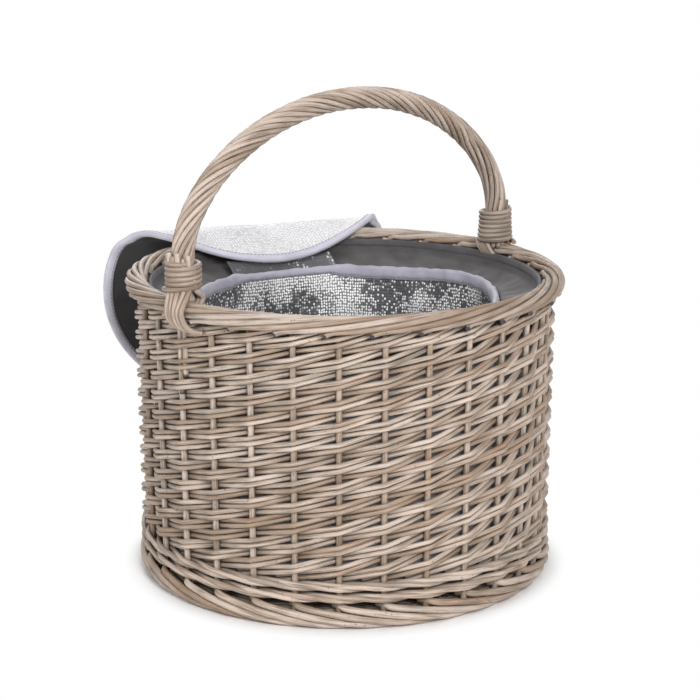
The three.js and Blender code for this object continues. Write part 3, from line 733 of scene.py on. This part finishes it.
def coil_path(leg, side):
    """A rod wound up round a handle foot, a little wider at the bottom, with its first end loose."""
    path = []
    coils = LASHING_COILS[side]
    for step in range(round((coils + LOOSE_TURN) * LASHING_POINTS) + 1):
        wound = step / LASHING_POINTS - LOOSE_TURN
        loose = max(0.0, -wound) / LOOSE_TURN
        flare = LASHING_FLARE[side] * max(0.0, 1 - wound / coils) ** 2
        angle = 2 * pi * wound + LASHING_START
        out = (LASHING_OVAL[0] + flare + LOOSE_OUT * loose) * cos(angle)
        sideways = (LASHING_OVAL[1] + flare + LOOSE_SIDEWAYS * loose) * sin(angle)
        height = LASHING_FOOT[side] + wound * LASHING_PITCH - LOOSE_DROP * loose
        path.append(leg_place(leg, out, sideways, height))
    return path


def strap_paths(leg, face):
    """Rods from under the winding down over the border, on its outer or inner face."""
    paths = []
    low, high = STRAP_SPREAD
    for strap in range(STRAP_COUNT):
        angle = radians(low + (high - low) * strap / (STRAP_COUNT - 1))
        out = STRAP_OVAL * cos(angle) * STRAP_SIDE[face]
        sideways = STRAP_OVAL * sin(angle)
        path = [leg_place(leg, out, sideways, height) for height in STRAP_UNDER]
        row = STRAP_FIRST + strap * STRAP_PITCH[face]
        for height, beyond, shift in STRAP_TRACK[face]:
            path.append(leg_place(leg, beyond, row + shift, height))
        paths.append(path)
    return paths


def tuft_paths(leg, top, count, seed):
    pick = random.Random(seed)
    paths = []
    for stub in range(count):
        angle = (stub / (count - 1) - 0.5) * TUFT_SPREAD * count
        out = TUFT_OVAL[0] * cos(angle)
        sideways = TUFT_OVAL[1] * sin(angle)
        peak = top + pick.uniform(*TUFT_STAND)
        lean = pick.uniform(-TUFT_LEAN, TUFT_LEAN)
        foot = leg_place(leg, out, sideways, top - TUFT_ROOT)
        paths.append([foot, leg_place(leg, out * TUFT_SPLAY, sideways + lean, peak)])
    return paths


for seed, (side, leg) in enumerate(zip(("left", "right"), LEG_TURNS)):
    lashing_top = LASHING_FOOT[side] + LASHING_COILS[side] * LASHING_PITCH
    coil = [coil_path(leg, side)]
    coil_nodes = [f"handle_lashing_{side}"]
    willow_rods(f"lashing_{side}", coil, LASHING_ROD_RADIUS, coil_nodes, tip=1.0, cut=0.0, tone=0.3)
    straps = strap_paths(leg, "outer") + strap_paths(leg, "inner")
    willow_rods(f"straps_{side}", straps, LASHING_ROD_RADIUS, tip=1.0, rings=4)
    stubs = tuft_paths(leg, lashing_top, TUFT_COUNT[side], seed)
    willow_rods(f"tuft_{side}", stubs, LASHING_ROD_RADIUS, tip=1.0, cut=0.0, tone=TUFT_TONE[side])


# Cooler bag. Embossed silver foil inside, thin foam, and grey polyester cloth outside, sewn to a
# round bag that is drawn in at its mouth. It stands loose in the basket.
BAG_RADIUS = 0.155
BAG_WALL = 0.0042
BAG_BOTTOM = 0.0140
BAG_COLUMNS = 144
# Each row is a reach and a rise from the bottom.
BAG_FLOOR = (
    (0.0, 0.0), (0.03, 0.0), (0.07, 0.0), (0.11, 0.0), (0.134, 0.0005), (0.147, 0.004), (0.153, 0.012),
)
BAG_RISES = (0.03, 0.06, 0.09, 0.12, 0.15, 0.18)
BAG_FLAT = 0.1
BAG_CORNER = 0.02
BAG_MIDDLE = 0.0005
BAG_EDGE = 0.003
BAG_SEAM = 0.0008
SHOULDER_ROWS = 14
FOIL_DROP = 0.055
FOIL_EASE = 0.02
DENT_DEPTH = 0.0045
DENT_FROM = 0.006
DENT_EASE = 0.02
MOUTH_WIDTH = 0.1300
MOUTH_DEPTH = 0.1145
MOUTH_TOP = 0.2255
MOUTH_WAVES = ((0.0014, 5, 0.8), (0.0009, 8, 2.1))
MOUTH_SWELLS = ((0.0010, 3, 1.0), (0.0008, 7, 0.0))
STRIP_HALF = 0.050
PINCH_WIDTH = 0.009
PINCH_OUT = 0.0018
PINCH_UP = 0.0010
DOT_PITCH = 0.0026


def foil_material(name, ground, dots, lit, shine):
    """Foil with small embossed dots in rows: each gets a painted glint by itself, and more of them in
    painted highlight patches, which also lighten the ground.
    """
    material, start = new_material(name)
    flat = start.node("ShaderNodeUVMap", uv_map="cloth")
    values = {"Vector": flat, "Scale": 1 / DOT_PITCH, "Randomness": 0.4}
    away = start.node("ShaderNodeTexVoronoi", values, "Distance", voronoi_dimensions="2D")
    glint = start.node("ShaderNodeSeparateColor", {0: away.also("Color")})
    patch = start.noise(flat, 13.0, 2)
    creases = start.noise(flat, 40.0, 2)
    bumps = 1 - away.rise(0.2, 0.5)
    painted_highlight = patch.rise(0.42, 0.68)
    shown = (glint * 0.75 + painted_highlight).rise(lit, lit + 0.4)
    # Painted glints on single dots, and a painted highlight that also lightens the ground in the
    # patches.
    bright = bumps * shown + painted_highlight * painted_highlight * 0.35
    height = bumps * 0.6 + creases * 1.2
    values = {
        "Base Color": start.mix(colour(*ground), colour(*dots), bright),
        "Metallic": shine,
        "Specular IOR Level": shine,
        "Roughness": 0.3 + 0.15 * creases,
        "Normal": start.node("ShaderNodeBump", {"Strength": 0.5, "Distance": 0.0008, "Height": height}),
    }
    return surface(material, start, values)


def cloth_material(name, shade, light, weave=900.0, sheen=0.15):
    """Plain woven cloth: fine threads both ways and a faint unevenness."""
    material, start = new_material(name)
    flat = start.node("ShaderNodeUVMap", uv_map="cloth")
    across = start.node("ShaderNodeSeparateXYZ", {0: flat}, "X")
    warp = start.math("SINE", across * (weave * 2 * pi))
    weft = start.math("SINE", across.also("Y") * (weave * 2 * pi))
    soft = start.noise(flat, 60.0, 3)
    threads = warp * weft * 0.5 + 0.5
    bright = (threads * 0.45 + soft * 0.8 - 0.1).rise(0.1, 0.9)
    height = threads + soft * 2
    values = {
        "Base Color": start.mix(colour(*shade), colour(*light), bright),
        "Roughness": 0.78,
        "Sheen Weight": sheen,
        "Normal": start.node("ShaderNodeBump", {"Strength": 0.3, "Distance": 0.0004, "Height": height}),
    }
    return surface(material, start, values)


def even_flats(length, pitch, count):
    """Where rows of the same length, one above the other, lie on the flat cloth."""
    return [(length, pitch * row) for row in range(count)]


def loft(name, rows, flats, materials, split=None, capped=False):
    """A mesh of rings of points, with the second material from the band named by split on.

    Each row's flat is its length on the flat cloth and how far up it lies there. One flat more
    than there are rows closes the last row to the first.
    """
    columns = len(rows[0])
    faces = []
    corners = []
    for band, (low, high) in enumerate(zip(flats, flats[1:])):
        below = band * columns
        above = (band + 1) % len(rows) * columns
        for column in range(columns):
            beside = (column + 1) % columns
            faces.append((below + column, below + beside, above + beside, above + column))
            for (length, up), side in ((low, 0), (low, 1), (high, 1), (high, 0)):
                corners.append((length * (column + side) / columns, up))
    if capped:
        top = (len(rows) - 1) * columns
        faces += [tuple(range(columns))[::-1], tuple(range(top, top + columns))]
        corners += [(0, 0)] * (2 * columns)
    mesh = bpy.data.meshes.new(name)
    mesh.from_pydata([point for row in rows for point in row], [], faces)
    layer = mesh.uv_layers.new(name="cloth")
    for slot, place in zip(layer.data, corners):
        slot.uv = place
    for material in materials:
        mesh.materials.append(material)
    for number, polygon in enumerate(mesh.polygons):
        polygon.material_index = 1 if split and number >= split * columns else 0
        polygon.use_smooth = True
    return add_piece(name, mesh)


def clamp(value):
    return max(0.0, min(1.0, value))


def ring_noise(turn, reach, level):
    """Smooth noise round a ring, that closes on itself; a wider reach makes it finer."""
    return noise.noise(Vector(ring_point(turn, reach, level)))


def waves(turn, rows):
    """The sum of a few waves round a ring, each with its height, count and phase."""
    return sum(height * sin(count * turn + phase) for height, count, phase in rows)


def mouth_pinch(turn):
    """1 where an end of the lid's hinge strip pulls at the mouth, and 0 away from it."""
    if sin(turn) < 0:
        return 0.0
    near = abs(abs(MOUTH_WIDTH * cos(turn)) - STRIP_HALF)
    return exp(-((near / PINCH_WIDTH) ** 2))


def mouth_outline(turn, grow_by=0.0):
    """The bag's mouth seen from above: an oval with the small waves of soft cloth."""
    out = grow_by + waves(turn, MOUTH_WAVES) + PINCH_OUT * mouth_pinch(turn)
    return (MOUTH_WIDTH + out) * cos(turn), (MOUTH_DEPTH + out) * sin(turn)


def mouth_height(turn):
    return MOUTH_TOP + waves(turn, MOUTH_SWELLS) + PINCH_UP * mouth_pinch(turn)


def ring_of(columns, place, *values):
    """A row of points that closes on itself: a place for each of so many turns."""
    return [place(turn, *values) for turn in turns(columns)]


def bag_row(reach, rise, inset):
    """A ring of the bag's floor or wall; the foil lies above the floor and inside the wall."""
    reach = max(BAG_MIDDLE, reach - inset if reach > BAG_FLAT else reach)
    height = BAG_BOTTOM + rise + (inset if rise < BAG_CORNER else 0)
    return ring_of(BAG_COLUMNS, ring_point, reach, height)


def shoulder_place(turn, low, share, inset):
    """A place between wall and mouth: the cloth draws in all the way up, the foil at once."""
    top = mouth_height(turn) - BAG_EDGE
    height = low + (top - low) * share
    ease = clamp(1 - (top - FOIL_DROP - height) / FOIL_EASE) if inset else share
    ease = ease * ease * (3 - 2 * ease)
    dent = ring_noise(turn, 5, height * 18) + 0.5 * ring_noise(turn, 13, height * 40)
    loose = clamp((top - DENT_FROM - height) / DENT_EASE)
    grow_by = BAG_SEAM - inset * (0.4 + 0.6 * loose) - DENT_DEPTH * dent * loose
    wide = Vector(ring_point(turn, BAG_RADIUS - inset, height))
    return wide.lerp(Vector((*mouth_outline(turn, grow_by), height)), ease)


def bag_rows(inset):
    """Rings of the bag from the middle of its floor to its mouth; the foil is inset by the wall."""
    profile = BAG_FLOOR + tuple((BAG_RADIUS, rise) for rise in BAG_RISES)
    if inset:
        foil_top = MOUTH_TOP - BAG_EDGE - FOIL_DROP - FOIL_EASE - BAG_BOTTOM
        profile = [(reach, rise) for reach, rise in profile if rise < foil_top]
    rows = [bag_row(reach, rise, inset) for reach, rise in profile]
    low = BAG_BOTTOM + profile[-1][1]
    for step in range(1, SHOULDER_ROWS + 1):
        rows.append(ring_of(BAG_COLUMNS, shoulder_place, low, step / SHOULDER_ROWS, inset))
    return rows


def bag_flats(rows):
    """Lays the bag's rows out flat by the way from one to the next."""
    firsts = [Vector(row[0]) for row in rows]
    spans = [(after - before).length for before, after in zip(firsts, firsts[1:])]
    return [(2 * pi * BAG_RADIUS, run) for run in (0, *itertools.accumulate(spans))]


def flat_of_floor(piece):
    """Lays the pattern of the bag's floor out flat, so that its dots don't run into the middle."""
    layer = piece.data.uv_layers["cloth"]
    for polygon in piece.data.polygons:
        if polygon.center.z < BAG_BOTTOM + BAG_WALL + 0.002:
            for loop in polygon.loop_indices:
                place = piece.data.vertices[piece.data.loops[loop].vertex_index].co
                layer.data[loop].uv = (place.x, place.y)


# The bag's foil is the lid's silver foil with its ground painted dark grey, as a painted reflection of
# the dark inside of the bag.
FOIL_BAG = foil_material("foil_bag", ground=(86, 86, 89), dots=(255, 255, 255), lit=0.35, shine=0.2)
# The bag's outer cloth is painted lighter than the skirt's and the lid's grey cloth, as painted light
# where it shows through the gaps in the wall.
LIT_BAG_CLOTH = cloth_material("bag_cloth", shade=(104, 104, 108), light=(140, 140, 144))
outside = bag_rows(0.0)
bag_all = outside + bag_rows(BAG_WALL)[::-1]
bag = loft("cooler_bag_soft", bag_all, bag_flats(bag_all), [LIT_BAG_CLOTH, FOIL_BAG], split=len(outside))
flat_of_floor(bag)
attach(bag, "basket")
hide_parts("cooler_bag")


# Mouth tape. Lilac polyester tape folded over the raw edge of the bag's mouth and sewn through.
# It also holds the skirt's lower edge, and is lower where the lid's hinge strip is sewn in.
TAPE_THICK = 0.0050
TAPE_HEIGHT = 0.0105
TAPE_LOWERED = 0.4
TAPE_LOWER_EASE = 0.008
TAPE_PUCKER_OUT = 0.0008
TAPE_PUCKER_UP = 0.0007
TAPE_COLUMNS = 360
TAPE_SECTION = (
    (-0.5, -1.0), (-0.56, -0.55), (-0.50, -0.22), (-0.30, -0.03), (0.0, 0.0), (0.30, -0.03),
    (0.50, -0.22), (0.56, -0.55), (0.5, -1.0), (0.0, -1.02),
)
TAPE_FLAT = (0.78, 0.0035)
TAPE_FINISH = {"weave": 1300.0, "sheen": 0.3}
SEAM_DEPTH = -0.78
SEAM_SIDES = (-0.54, 0.54)
STITCH_PITCH = 0.0036
STITCH_LENGTH = 0.0028
THREAD_RADIUS = 0.0004


def tape_place(turn, side, depth):
    """A place on the tape, at some depth below its top and to one side of its middle."""
    pucker = ring_noise(turn, 14, depth) + 0.7 * ring_noise(turn, 34, depth * 2)
    x, y = mouth_outline(turn, side * TAPE_THICK + TAPE_PUCKER_OUT * pucker)
    at_strip = clamp((STRIP_HALF - abs(x)) / TAPE_LOWER_EASE) if y > 0 else 0.0
    tall = TAPE_HEIGHT * (1 - TAPE_LOWERED * at_strip)
    return (x, y, mouth_height(turn) + depth * tall + TAPE_PUCKER_UP * pucker)


def thread_material(name, shade, light):
    """Sewing thread: fine twisted fibres, a little darker between them."""
    material, start = new_material(name)
    place = start.node("ShaderNodeTexCoord", output="Object")
    fibres = start.noise(place, 1800.0, 2)
    tone = start.mix(colour(*shade), colour(*light), fibres)
    return surface(material, start, {"Base Color": tone, "Roughness": 0.7})


def stitch_tree():
    """Lays one small stitch after another along every path."""
    inputs = {"Pitch": "Float", "Length": "Float", "Thread radius": "Float", "Finish": "Material"}
    tree, given = new_tree("stitches", inputs)
    start = given["Geometry"]
    values = {"Curve": start, "Length": given["Pitch"]}
    spots = start.node("GeometryNodeCurveToPoints", values, mode="LENGTH")
    thread = given["Thread radius"]
    size = start.node("ShaderNodeCombineXYZ", {"X": thread, "Y": thread, "Z": given["Length"] * 0.5})
    bead = start.node("GeometryNodeMeshUVSphere", {"Segments": 6, "Rings": 4, "Radius": 1})
    values = {"Points": spots, "Instance": bead, "Rotation": spots.also("Rotation"), "Scale": size}
    finish_tree(start.node("GeometryNodeInstanceOnPoints", values), given["Finish"])
    return tree


STITCH_TREE = stitch_tree()


def stitches(name, paths, finish):
    sizes = {"Pitch": STITCH_PITCH, "Length": STITCH_LENGTH, "Thread radius": THREAD_RADIUS}
    return grow(name, paths, True, STITCH_TREE, {**sizes, "Finish": finish})


# The mouth's copy of the lilac tape is painted darker than the lid's, as painted shade down at the
# mouth.
TAPE = cloth_material("lilac_tape", shade=(146, 143, 157), light=(188, 185, 199), **TAPE_FINISH)
tape_ring = [ring_of(TAPE_COLUMNS, tape_place, *corner) for corner in TAPE_SECTION]
tape_flats = even_flats(*TAPE_FLAT, len(tape_ring) + 1)
mouth_tape = loft("mouth_tape", tape_ring[::-1], tape_flats, [TAPE])
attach(mouth_tape, "basket")
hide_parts("cooler_bag")
THREAD = thread_material("lilac_thread", shade=(112, 110, 122), light=(150, 147, 160))
mouth_seams = [ring_of(TAPE_COLUMNS, tape_place, side, SEAM_DEPTH) for side in SEAM_SIDES]
mouth_stitches = stitches("mouth_stitches", mouth_seams, THREAD)
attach(mouth_stitches, "basket")


# Lining skirt. Thin grey polyester sewn under the mouth tape, that fills the ring up to the rim and
# stands up along it with a stitched hem. It lies loose, so that it puckers.
SKIRT_TOP_REACH = 0.1604
SKIRT_TOP = 0.2408
SKIRT_FOLD_REACH = 0.1572
SKIRT_FOLD = 0.2285
SKIRT_LOW = 0.2195
SKIRT_SEAM = 0.0042
SKIRT_THICK = 0.0012
SKIRT_SAG = 0.0030
SKIRT_PUCKER = 0.0009
SKIRT_COLUMNS = 360
SKIRT_SHELF_ROWS = 10
SKIRT_STAND = (0.0, 0.15, 0.3, 0.4, 0.46, 0.52, 0.58, 0.64, 0.8, 1.0)
SKIRT_WEAVE_FLAT = (0.96, 0.003)
HEM_SEAM = 0.52
HEM_THICK = 0.0009
HEM_FROM = 0.08
HEM_EASE = 0.12
HEM_GROOVE = 0.05


def hem_thickness(stand):
    """How much the doubled hem adds up the stand, less the groove that its seam draws in."""
    groove = 0.6 * exp(-(((stand - HEM_SEAM) / HEM_GROOVE) ** 2))
    return HEM_THICK * (clamp((stand - HEM_SEAM + HEM_FROM) / HEM_EASE) - groove)


def skirt_place(turn, shelf, stand, thick):
    """A place on the skirt: along its shelf from the mouth, then up its stand.

    The cloth's thickness goes up from the shelf and inwards from the stand, where the hem doubles it.
    """
    mouth = Vector((*mouth_outline(turn, SKIRT_SEAM), 0))
    fold = Vector(ring_point(turn, SKIRT_FOLD_REACH, 0))
    soft = ring_noise(turn, 6, shelf + 0.6 * stand)
    fine = ring_noise(turn, 15, 3 + 0.7 * shelf + 0.4 * stand)
    pucker = soft + 0.5 * fine
    upright = min(1.0, shelf * shelf + stand)
    hem = hem_thickness(stand) if thick else 0.0
    inwards = upright * thick + hem + SKIRT_PUCKER * max(0.0, pucker) * stand
    out = 1 + stand * (SKIRT_TOP_REACH / SKIRT_FOLD_REACH - 1) - inwards / SKIRT_FOLD_REACH
    place = mouth.lerp(fold, shelf ** 0.9) * out
    height = SKIRT_LOW + (SKIRT_FOLD - SKIRT_LOW) * shelf + (SKIRT_TOP - SKIRT_FOLD) * stand
    hang = sin(pi * min(1, 0.1 + shelf * 0.85)) * (1 - stand)
    place.z = height + SKIRT_SAG * pucker * hang + thick * (1 - stand)
    return place


def skirt_rows(thick):
    steps = [(step / SKIRT_SHELF_ROWS, 0.0) for step in range(SKIRT_SHELF_ROWS)]
    steps += [(1.0, stand) for stand in SKIRT_STAND]
    return [ring_of(SKIRT_COLUMNS, skirt_place, *step, thick) for step in steps]


CLOTH = cloth_material("grey_cloth", shade=(54, 52, 53), light=(90, 87, 88))
skirt_ring = skirt_rows(0.0) + skirt_rows(SKIRT_THICK)[::-1]
skirt_flats = even_flats(*SKIRT_WEAVE_FLAT, len(skirt_ring) + 1)
skirt = loft("lining_skirt_cloth", skirt_ring, skirt_flats, [CLOTH])
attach(skirt, "basket")
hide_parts("lining_skirt")
HEM_THREAD = thread_material("grey_thread", shade=(34, 33, 34), light=(90, 87, 88))
hem_seam = ring_of(SKIRT_COLUMNS, skirt_place, 1.0, HEM_SEAM, SKIRT_THICK)
hem_stitches = stitches("hem_stitches", [hem_seam], HEM_THREAD)
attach(hem_stitches, "basket")


# Lid. A soft padded oval: embossed foil inside, thin foam, grey cloth outside. Here it is laid back
# over the rim and hangs down behind, so that its foil is up; it bends where it lies on the rim.
JOINT_PLACES = {joint["name"]: Vector(joint["pos_m"][1:]) for joint in frame["joints"]}
HINGE = JOINT_PLACES["lid_hinge"]
LID_FOLD = JOINT_PLACES["lid_fold"]
LID_NEAR = (LID_FOLD - HINGE).length
LID_RISE = atan2(LID_FOLD.y - HINGE.y, LID_FOLD.x - HINGE.x)
LID_LENGTH = 0.236
LID_FAR = LID_LENGTH - LID_NEAR
LID_HALF = 0.139
LID_DROP = radians(75)
LID_BOW = radians(15)
LID_SADDLE = 0.03798
LID_BEND = 0.024
LID_BLEND = (0.6, 1.2)
LID_SAG = 0.006
LID_SAG_WIDTH = 0.03
LID_SAG_FROM = -0.02
LID_RIPPLE = 0.0016
LID_RIPPLE_FROM = 0.02
LID_SHIFT = 0.003
LID_EDGE = 0.0040
LID_CROWN = 0.0030
LID_RINGS = 26
LID_COLUMNS = 160
LID_MIDDLE = 0.004


def lid_fold_line(along):
    """Place and slope of the lid's middle line, seen from the side, as if it had a sharp fold."""
    if along <= LID_NEAR:
        return HINGE + along * Vector((cos(LID_RISE), sin(LID_RISE))), LID_RISE
    bend = LID_FAR / LID_BOW
    slope = -LID_DROP - LID_BOW * (along - LID_NEAR) / LID_FAR
    y = LID_FOLD.x + bend * (sin(-LID_DROP) - sin(slope))
    z = LID_FOLD.y + bend * (cos(slope) - cos(-LID_DROP))
    return Vector((y, z)), slope


def lid_line(along):
    """The same line with its fold rounded to a bend."""
    share = (along - LID_NEAR + LID_BEND) / (2 * LID_BEND)
    if not 0 < share < 1:
        return lid_fold_line(along)
    ends = (LID_NEAR - LID_BEND, LID_NEAR, LID_NEAR + LID_BEND)
    first, second, third = [lid_fold_line(end)[0] for end in ends]
    place = first * (1 - share) ** 2 + second * 2 * share * (1 - share) + third * share ** 2
    run = (second - first) * (1 - share) + (third - second) * share
    return place, atan2(run.y, run.x)


def lid_place(along, x, lift):
    """A place on the lid: along it from the hinge, across it, and above its middle surface."""
    middle, slope = lid_line(along)
    saddle = LID_SADDLE * max(0.0, 1 - along / LID_NEAR) * (x / LID_HALF) ** 2
    ripple = LID_RIPPLE * noise.noise(Vector((x * 22, along * 26, 1.5)))
    rise = saddle + lift + ripple * min(1, along / LID_RIPPLE_FROM)
    at_bend = exp(-(((along - LID_NEAR) / LID_SAG_WIDTH) ** 2))
    sag = LID_SAG * at_bend * max(0.0, (x - LID_SAG_FROM) / LID_HALF)
    return (x + LID_SHIFT, middle.x - rise * sin(slope), middle.y + rise * cos(slope) - sag)


def oval_place(turn, share, wider, lift):
    """A place on an oval round the lid's middle, of some share of its size or wider."""
    x = (LID_HALF * share + wider) * cos(turn)
    along = LID_LENGTH / 2 + (LID_LENGTH / 2 * share + wider) * sin(turn)
    return lid_place(along, x, lift)


def lid_rows(face):
    rows = []
    for ring in range(LID_RINGS, -1, -1):
        share = max(LID_MIDDLE, sin(pi / 2 * ring / LID_RINGS))
        thick = LID_EDGE + LID_CROWN * (1 - share ** 2)
        rows.append(ring_of(LID_COLUMNS, oval_place, share, 0.0, face * thick / 2))
    return rows


def oval_flats(piece):
    """Gives both faces of the lid the flat oval's own coordinates, so that the dots keep their size."""
    layer = piece.data.uv_layers["cloth"]
    half = len(piece.data.vertices) // LID_COLUMNS
    for loop, slot in zip(piece.data.loops, layer.data):
        row, column = divmod(loop.vertex_index, LID_COLUMNS)
        ring = min(row, half - 1 - row)
        share = sin(pi / 2 * ring / LID_RINGS)
        turn = 2 * pi * column / LID_COLUMNS
        slot.uv = (LID_HALF * share * cos(turn), LID_LENGTH / 2 * share * sin(turn))


FOIL_LID = foil_material("foil_lid", ground=(205, 204, 207), dots=(244, 243, 245), lit=0.05, shine=0.05)
# The lid's outer cloth is the skirt's grey cloth painted darker, as painted shade on the lid's
# underside.
SHADED_LID_CLOTH = cloth_material("lid_cloth", shade=(38, 37, 38), light=(62, 61, 62))
lid_all = lid_rows(1)[::-1] + lid_rows(-1)
lid_flats = even_flats(LID_LENGTH, LID_EDGE, len(lid_all))
lid = loft("lid_panel", lid_all, lid_flats, [FOIL_LID, SHADED_LID_CLOTH], split=LID_RINGS + 1)
oval_flats(lid)
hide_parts("lid_near_panel", "lid_far_panel")
lid_start = lid_place(LID_NEAR - LID_BLEND[0] * LID_BEND, 0, 0)
lid_end = lid_place(LID_NEAR + LID_BLEND[1] * LID_BEND, 0, 0)
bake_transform(lid)


# Lid tape. The same lilac tape, folded over the lid's edge all round and sewn through with one row
# of stitches on each face.
LID_TAPE_WIDTH = 0.0068
LID_TAPE_PUCKER = 0.0003
LID_TAPE_SECTION = (
    (-1.0, 0.0026), (-0.6, 0.0029), (-0.25, 0.0027), (0.02, 0.0020), (0.10, 0.0),
    (0.02, -0.0020), (-0.25, -0.0027), (-0.6, -0.0029), (-1.0, -0.0026), (-1.0, 0.0),
)
LID_TAPE_COLUMNS = 260
LID_TAPE_FLAT = (0.6, 0.003)
LID_SEAM = -0.75
LID_SEAM_LIFTS = (0.0028, -0.0028)


def lid_tape_place(turn, beyond, lift):
    """A place on the lid's tape, some way beyond the lid's edge or in from it, and above its middle."""
    pucker = LID_TAPE_PUCKER * ring_noise(turn, 20, beyond)
    return oval_place(turn, 1, beyond * LID_TAPE_WIDTH, lift + pucker)


# The lid's copy of the same lilac tape is the lighter one.
LID_TAPE = cloth_material("lid_tape_lilac", shade=(178, 175, 189), light=(218, 215, 228), **TAPE_FINISH)
lid_tape_ring = [ring_of(LID_TAPE_COLUMNS, lid_tape_place, *corner) for corner in LID_TAPE_SECTION]
lid_tape_flats = even_flats(*LID_TAPE_FLAT, len(lid_tape_ring) + 1)
lid_tape = loft("lid_tape", lid_tape_ring[::-1], lid_tape_flats, [LID_TAPE])
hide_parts("lid_near_panel", "lid_far_panel")
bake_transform(lid_tape)
lid_seams = [ring_of(LID_TAPE_COLUMNS, lid_tape_place, LID_SEAM, lift) for lift in LID_SEAM_LIFTS]
lid_stitches = stitches("lid_stitches", lid_seams, THREAD)
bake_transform(lid_stitches)


# Lid hinge strip. A loose strip of the same foil, sewn between the back of the mouth and the lid.
# It wrinkles when the lid lies open, and lets the lid swing.
STRIP_COLUMNS = 60
STRIP_ROWS = 6
STRIP_THICK = 0.0008
STRIP_DOT_FLAT = (0.2, 0.002)
STRIP_SEAM = 0.003
STRIP_BEHIND = 0.001
STRIP_ON_LID = 0.004
STRIP_CREASE = 0.0013
STRIP_BULGE = 0.0012


def strip_row(share):
    """A loop of points round the strip, some share of the way from the mouth to the lid."""
    front = []
    slack = sin(pi * share)
    for column in range(STRIP_COLUMNS + 1):
        x = STRIP_HALF * (2 * column / STRIP_COLUMNS - 1)
        turn = acos(x / MOUTH_WIDTH)
        low = Vector((x, mouth_outline(turn)[1] + STRIP_BEHIND, mouth_height(turn) - STRIP_SEAM))
        high = Vector(lid_place(STRIP_ON_LID, x - LID_SHIFT, -STRIP_SEAM))
        crease = STRIP_CREASE * noise.noise(Vector((x * 130, share * 0.8, 4.0)))
        front.append(low.lerp(high, share) + Vector((0, (crease - STRIP_BULGE) * slack, 0)))
    back = [point + Vector((0, STRIP_THICK, 0)) for point in front]
    return front + back[::-1]


# The strip is the lid's foil painted dark grey, as painted shade, with painted glints on its dots.
FOIL_STRIP = foil_material("foil_strip", ground=(84, 84, 87), dots=(205, 205, 208), lit=0.6, shine=0.3)
strip_loops = [strip_row(step / STRIP_ROWS) for step in range(STRIP_ROWS + 1)]
strip_flats = even_flats(*STRIP_DOT_FLAT, len(strip_loops))
strip = loft("hinge_strip", strip_loops, strip_flats, [FOIL_STRIP], capped=True)
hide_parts("lid_hinge_strip")
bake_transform(strip)
